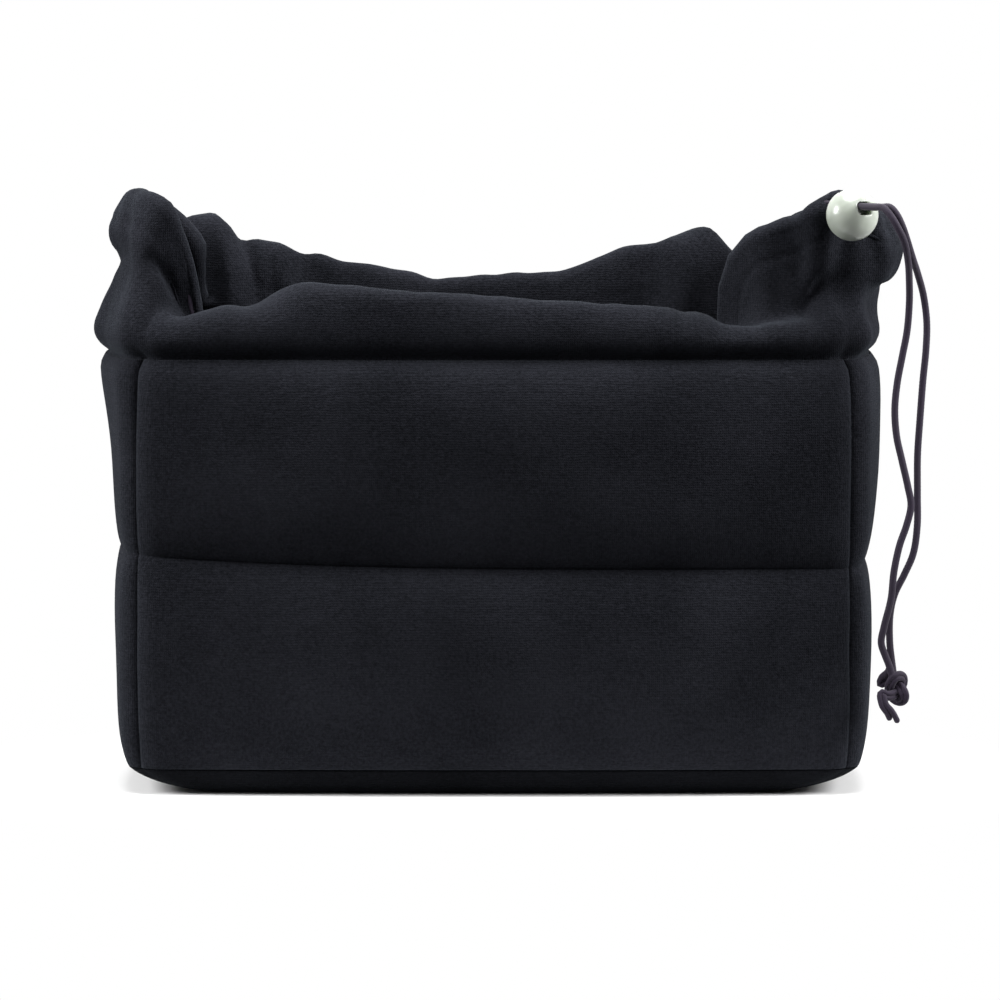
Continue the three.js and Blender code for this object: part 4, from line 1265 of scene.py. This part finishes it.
def stage_floor():
    # A plain floor that fades into the white round the object's foot
    ways = ((-1, -1), (1, -1), (1, 1), (-1, 1))
    corners = [(x * FLOOR_REACH, y * FLOOR_REACH, -FLOOR_DROP) for x, y in ways]
    piece = mesh_object("floor", corners, [(0, 1, 2, 3)], False)
    material, nodes, links, shader = new_material("floor")
    shader.inputs["Base Color"].default_value = (0.93, 0.93, 0.93, 1)
    shader.inputs["Roughness"].default_value = 0.8
    shader.inputs["Specular IOR Level"].default_value = 0.1
    vector = "ShaderNodeVectorMath"
    coordinates = node(nodes, "ShaderNodeTexCoord")
    foot = ((HALF_L - BEVEL_LENGTH) * MM, (HALF_D - BEVEL_DEPTH) * MM, 1)
    apart = combined(nodes, links, vector, "ABSOLUTE", coordinates.outputs["Object"])
    beyond = combined(nodes, links, vector, "SUBTRACT", apart, foot)
    outside = combined(nodes, links, vector, "MAXIMUM", beyond)
    size = node(nodes, vector, operation="LENGTH")
    links.new(outside, size.inputs[0])
    fade = node(nodes, "ShaderNodeMapRange", interpolation_type="SMOOTHSTEP")
    fade.inputs["From Min"].default_value = 0.0
    fade.inputs["From Max"].default_value = FLOOR_FADE * MM
    links.new(size.outputs["Value"], fade.inputs["Value"])
    clear = node(nodes, "ShaderNodeBsdfTransparent")
    mixed = node(nodes, "ShaderNodeMixShader")
    links.new(fade.outputs["Result"], mixed.inputs["Fac"])
    links.new(shader.outputs["BSDF"], mixed.inputs[1])
    links.new(clear.outputs["BSDF"], mixed.inputs[2])
    links.new(mixed.outputs["Shader"], nodes["Material Output"].inputs["Surface"])
    piece.data.materials.append(material)


AMBIENT = 0.11


def surroundings():
    # White to the camera and in what shines, and a faint even light for all else
    world = bpy.data.worlds.new("studio")
    bpy.context.scene.world = world
    world.use_nodes = True
    nodes, links = world.node_tree.nodes, world.node_tree.links
    background = nodes["Background"]
    background.inputs["Color"].default_value = (1, 1, 1, 1)
    rays = node(nodes, "ShaderNodeLightPath").outputs
    seen = combined(
        nodes, links, "ShaderNodeMath", "MAXIMUM", rays["Is Camera Ray"], rays["Is Glossy Ray"],
    )
    through = combined(nodes, links, "ShaderNodeMath", "MAXIMUM", seen, rays["Is Transmission Ray"])
    strength = node(nodes, "ShaderNodeMapRange")
    strength.inputs["To Min"].default_value = AMBIENT
    strength.inputs["To Max"].default_value = 1.0
    links.new(through, strength.inputs["Value"])
    links.new(strength.outputs["Result"], background.inputs["Strength"])


LIT_PLACE = Vector((0, 0, 0.12))


def lamp(name, place, size, power):
    # A round soft light, in metres and watts
    data = bpy.data.lights.new(name, "AREA")
    data.shape = "DISK"
    data.size = size
    data.energy = power
    obj = bpy.data.objects.new(name, data)
    obj.location = place
    way = LIT_PLACE - Vector(place)
    obj.rotation_euler = way.to_track_quat("-Z", "Y").to_euler()
    bpy.context.scene.collection.objects.link(obj)


stage_floor()
surroundings()
lamp("top", (0.0, -0.08, 1.25), 0.8, 19.0)
lamp("left", (-0.72, -0.17, 0.46), 0.4, 7.5)
lamp("right", (0.72, -0.17, 0.46), 0.4, 7.5)
lamp("back", (0.2, 1.2, 1.0), 0.9, 6.0)
bpy.context.scene.view_settings.view_transform = "Standard"

print("cord lengths mm", round(outer_length, 1), round(inner_length, 1))
print("collar cloth m2", round(collar_area, 4))
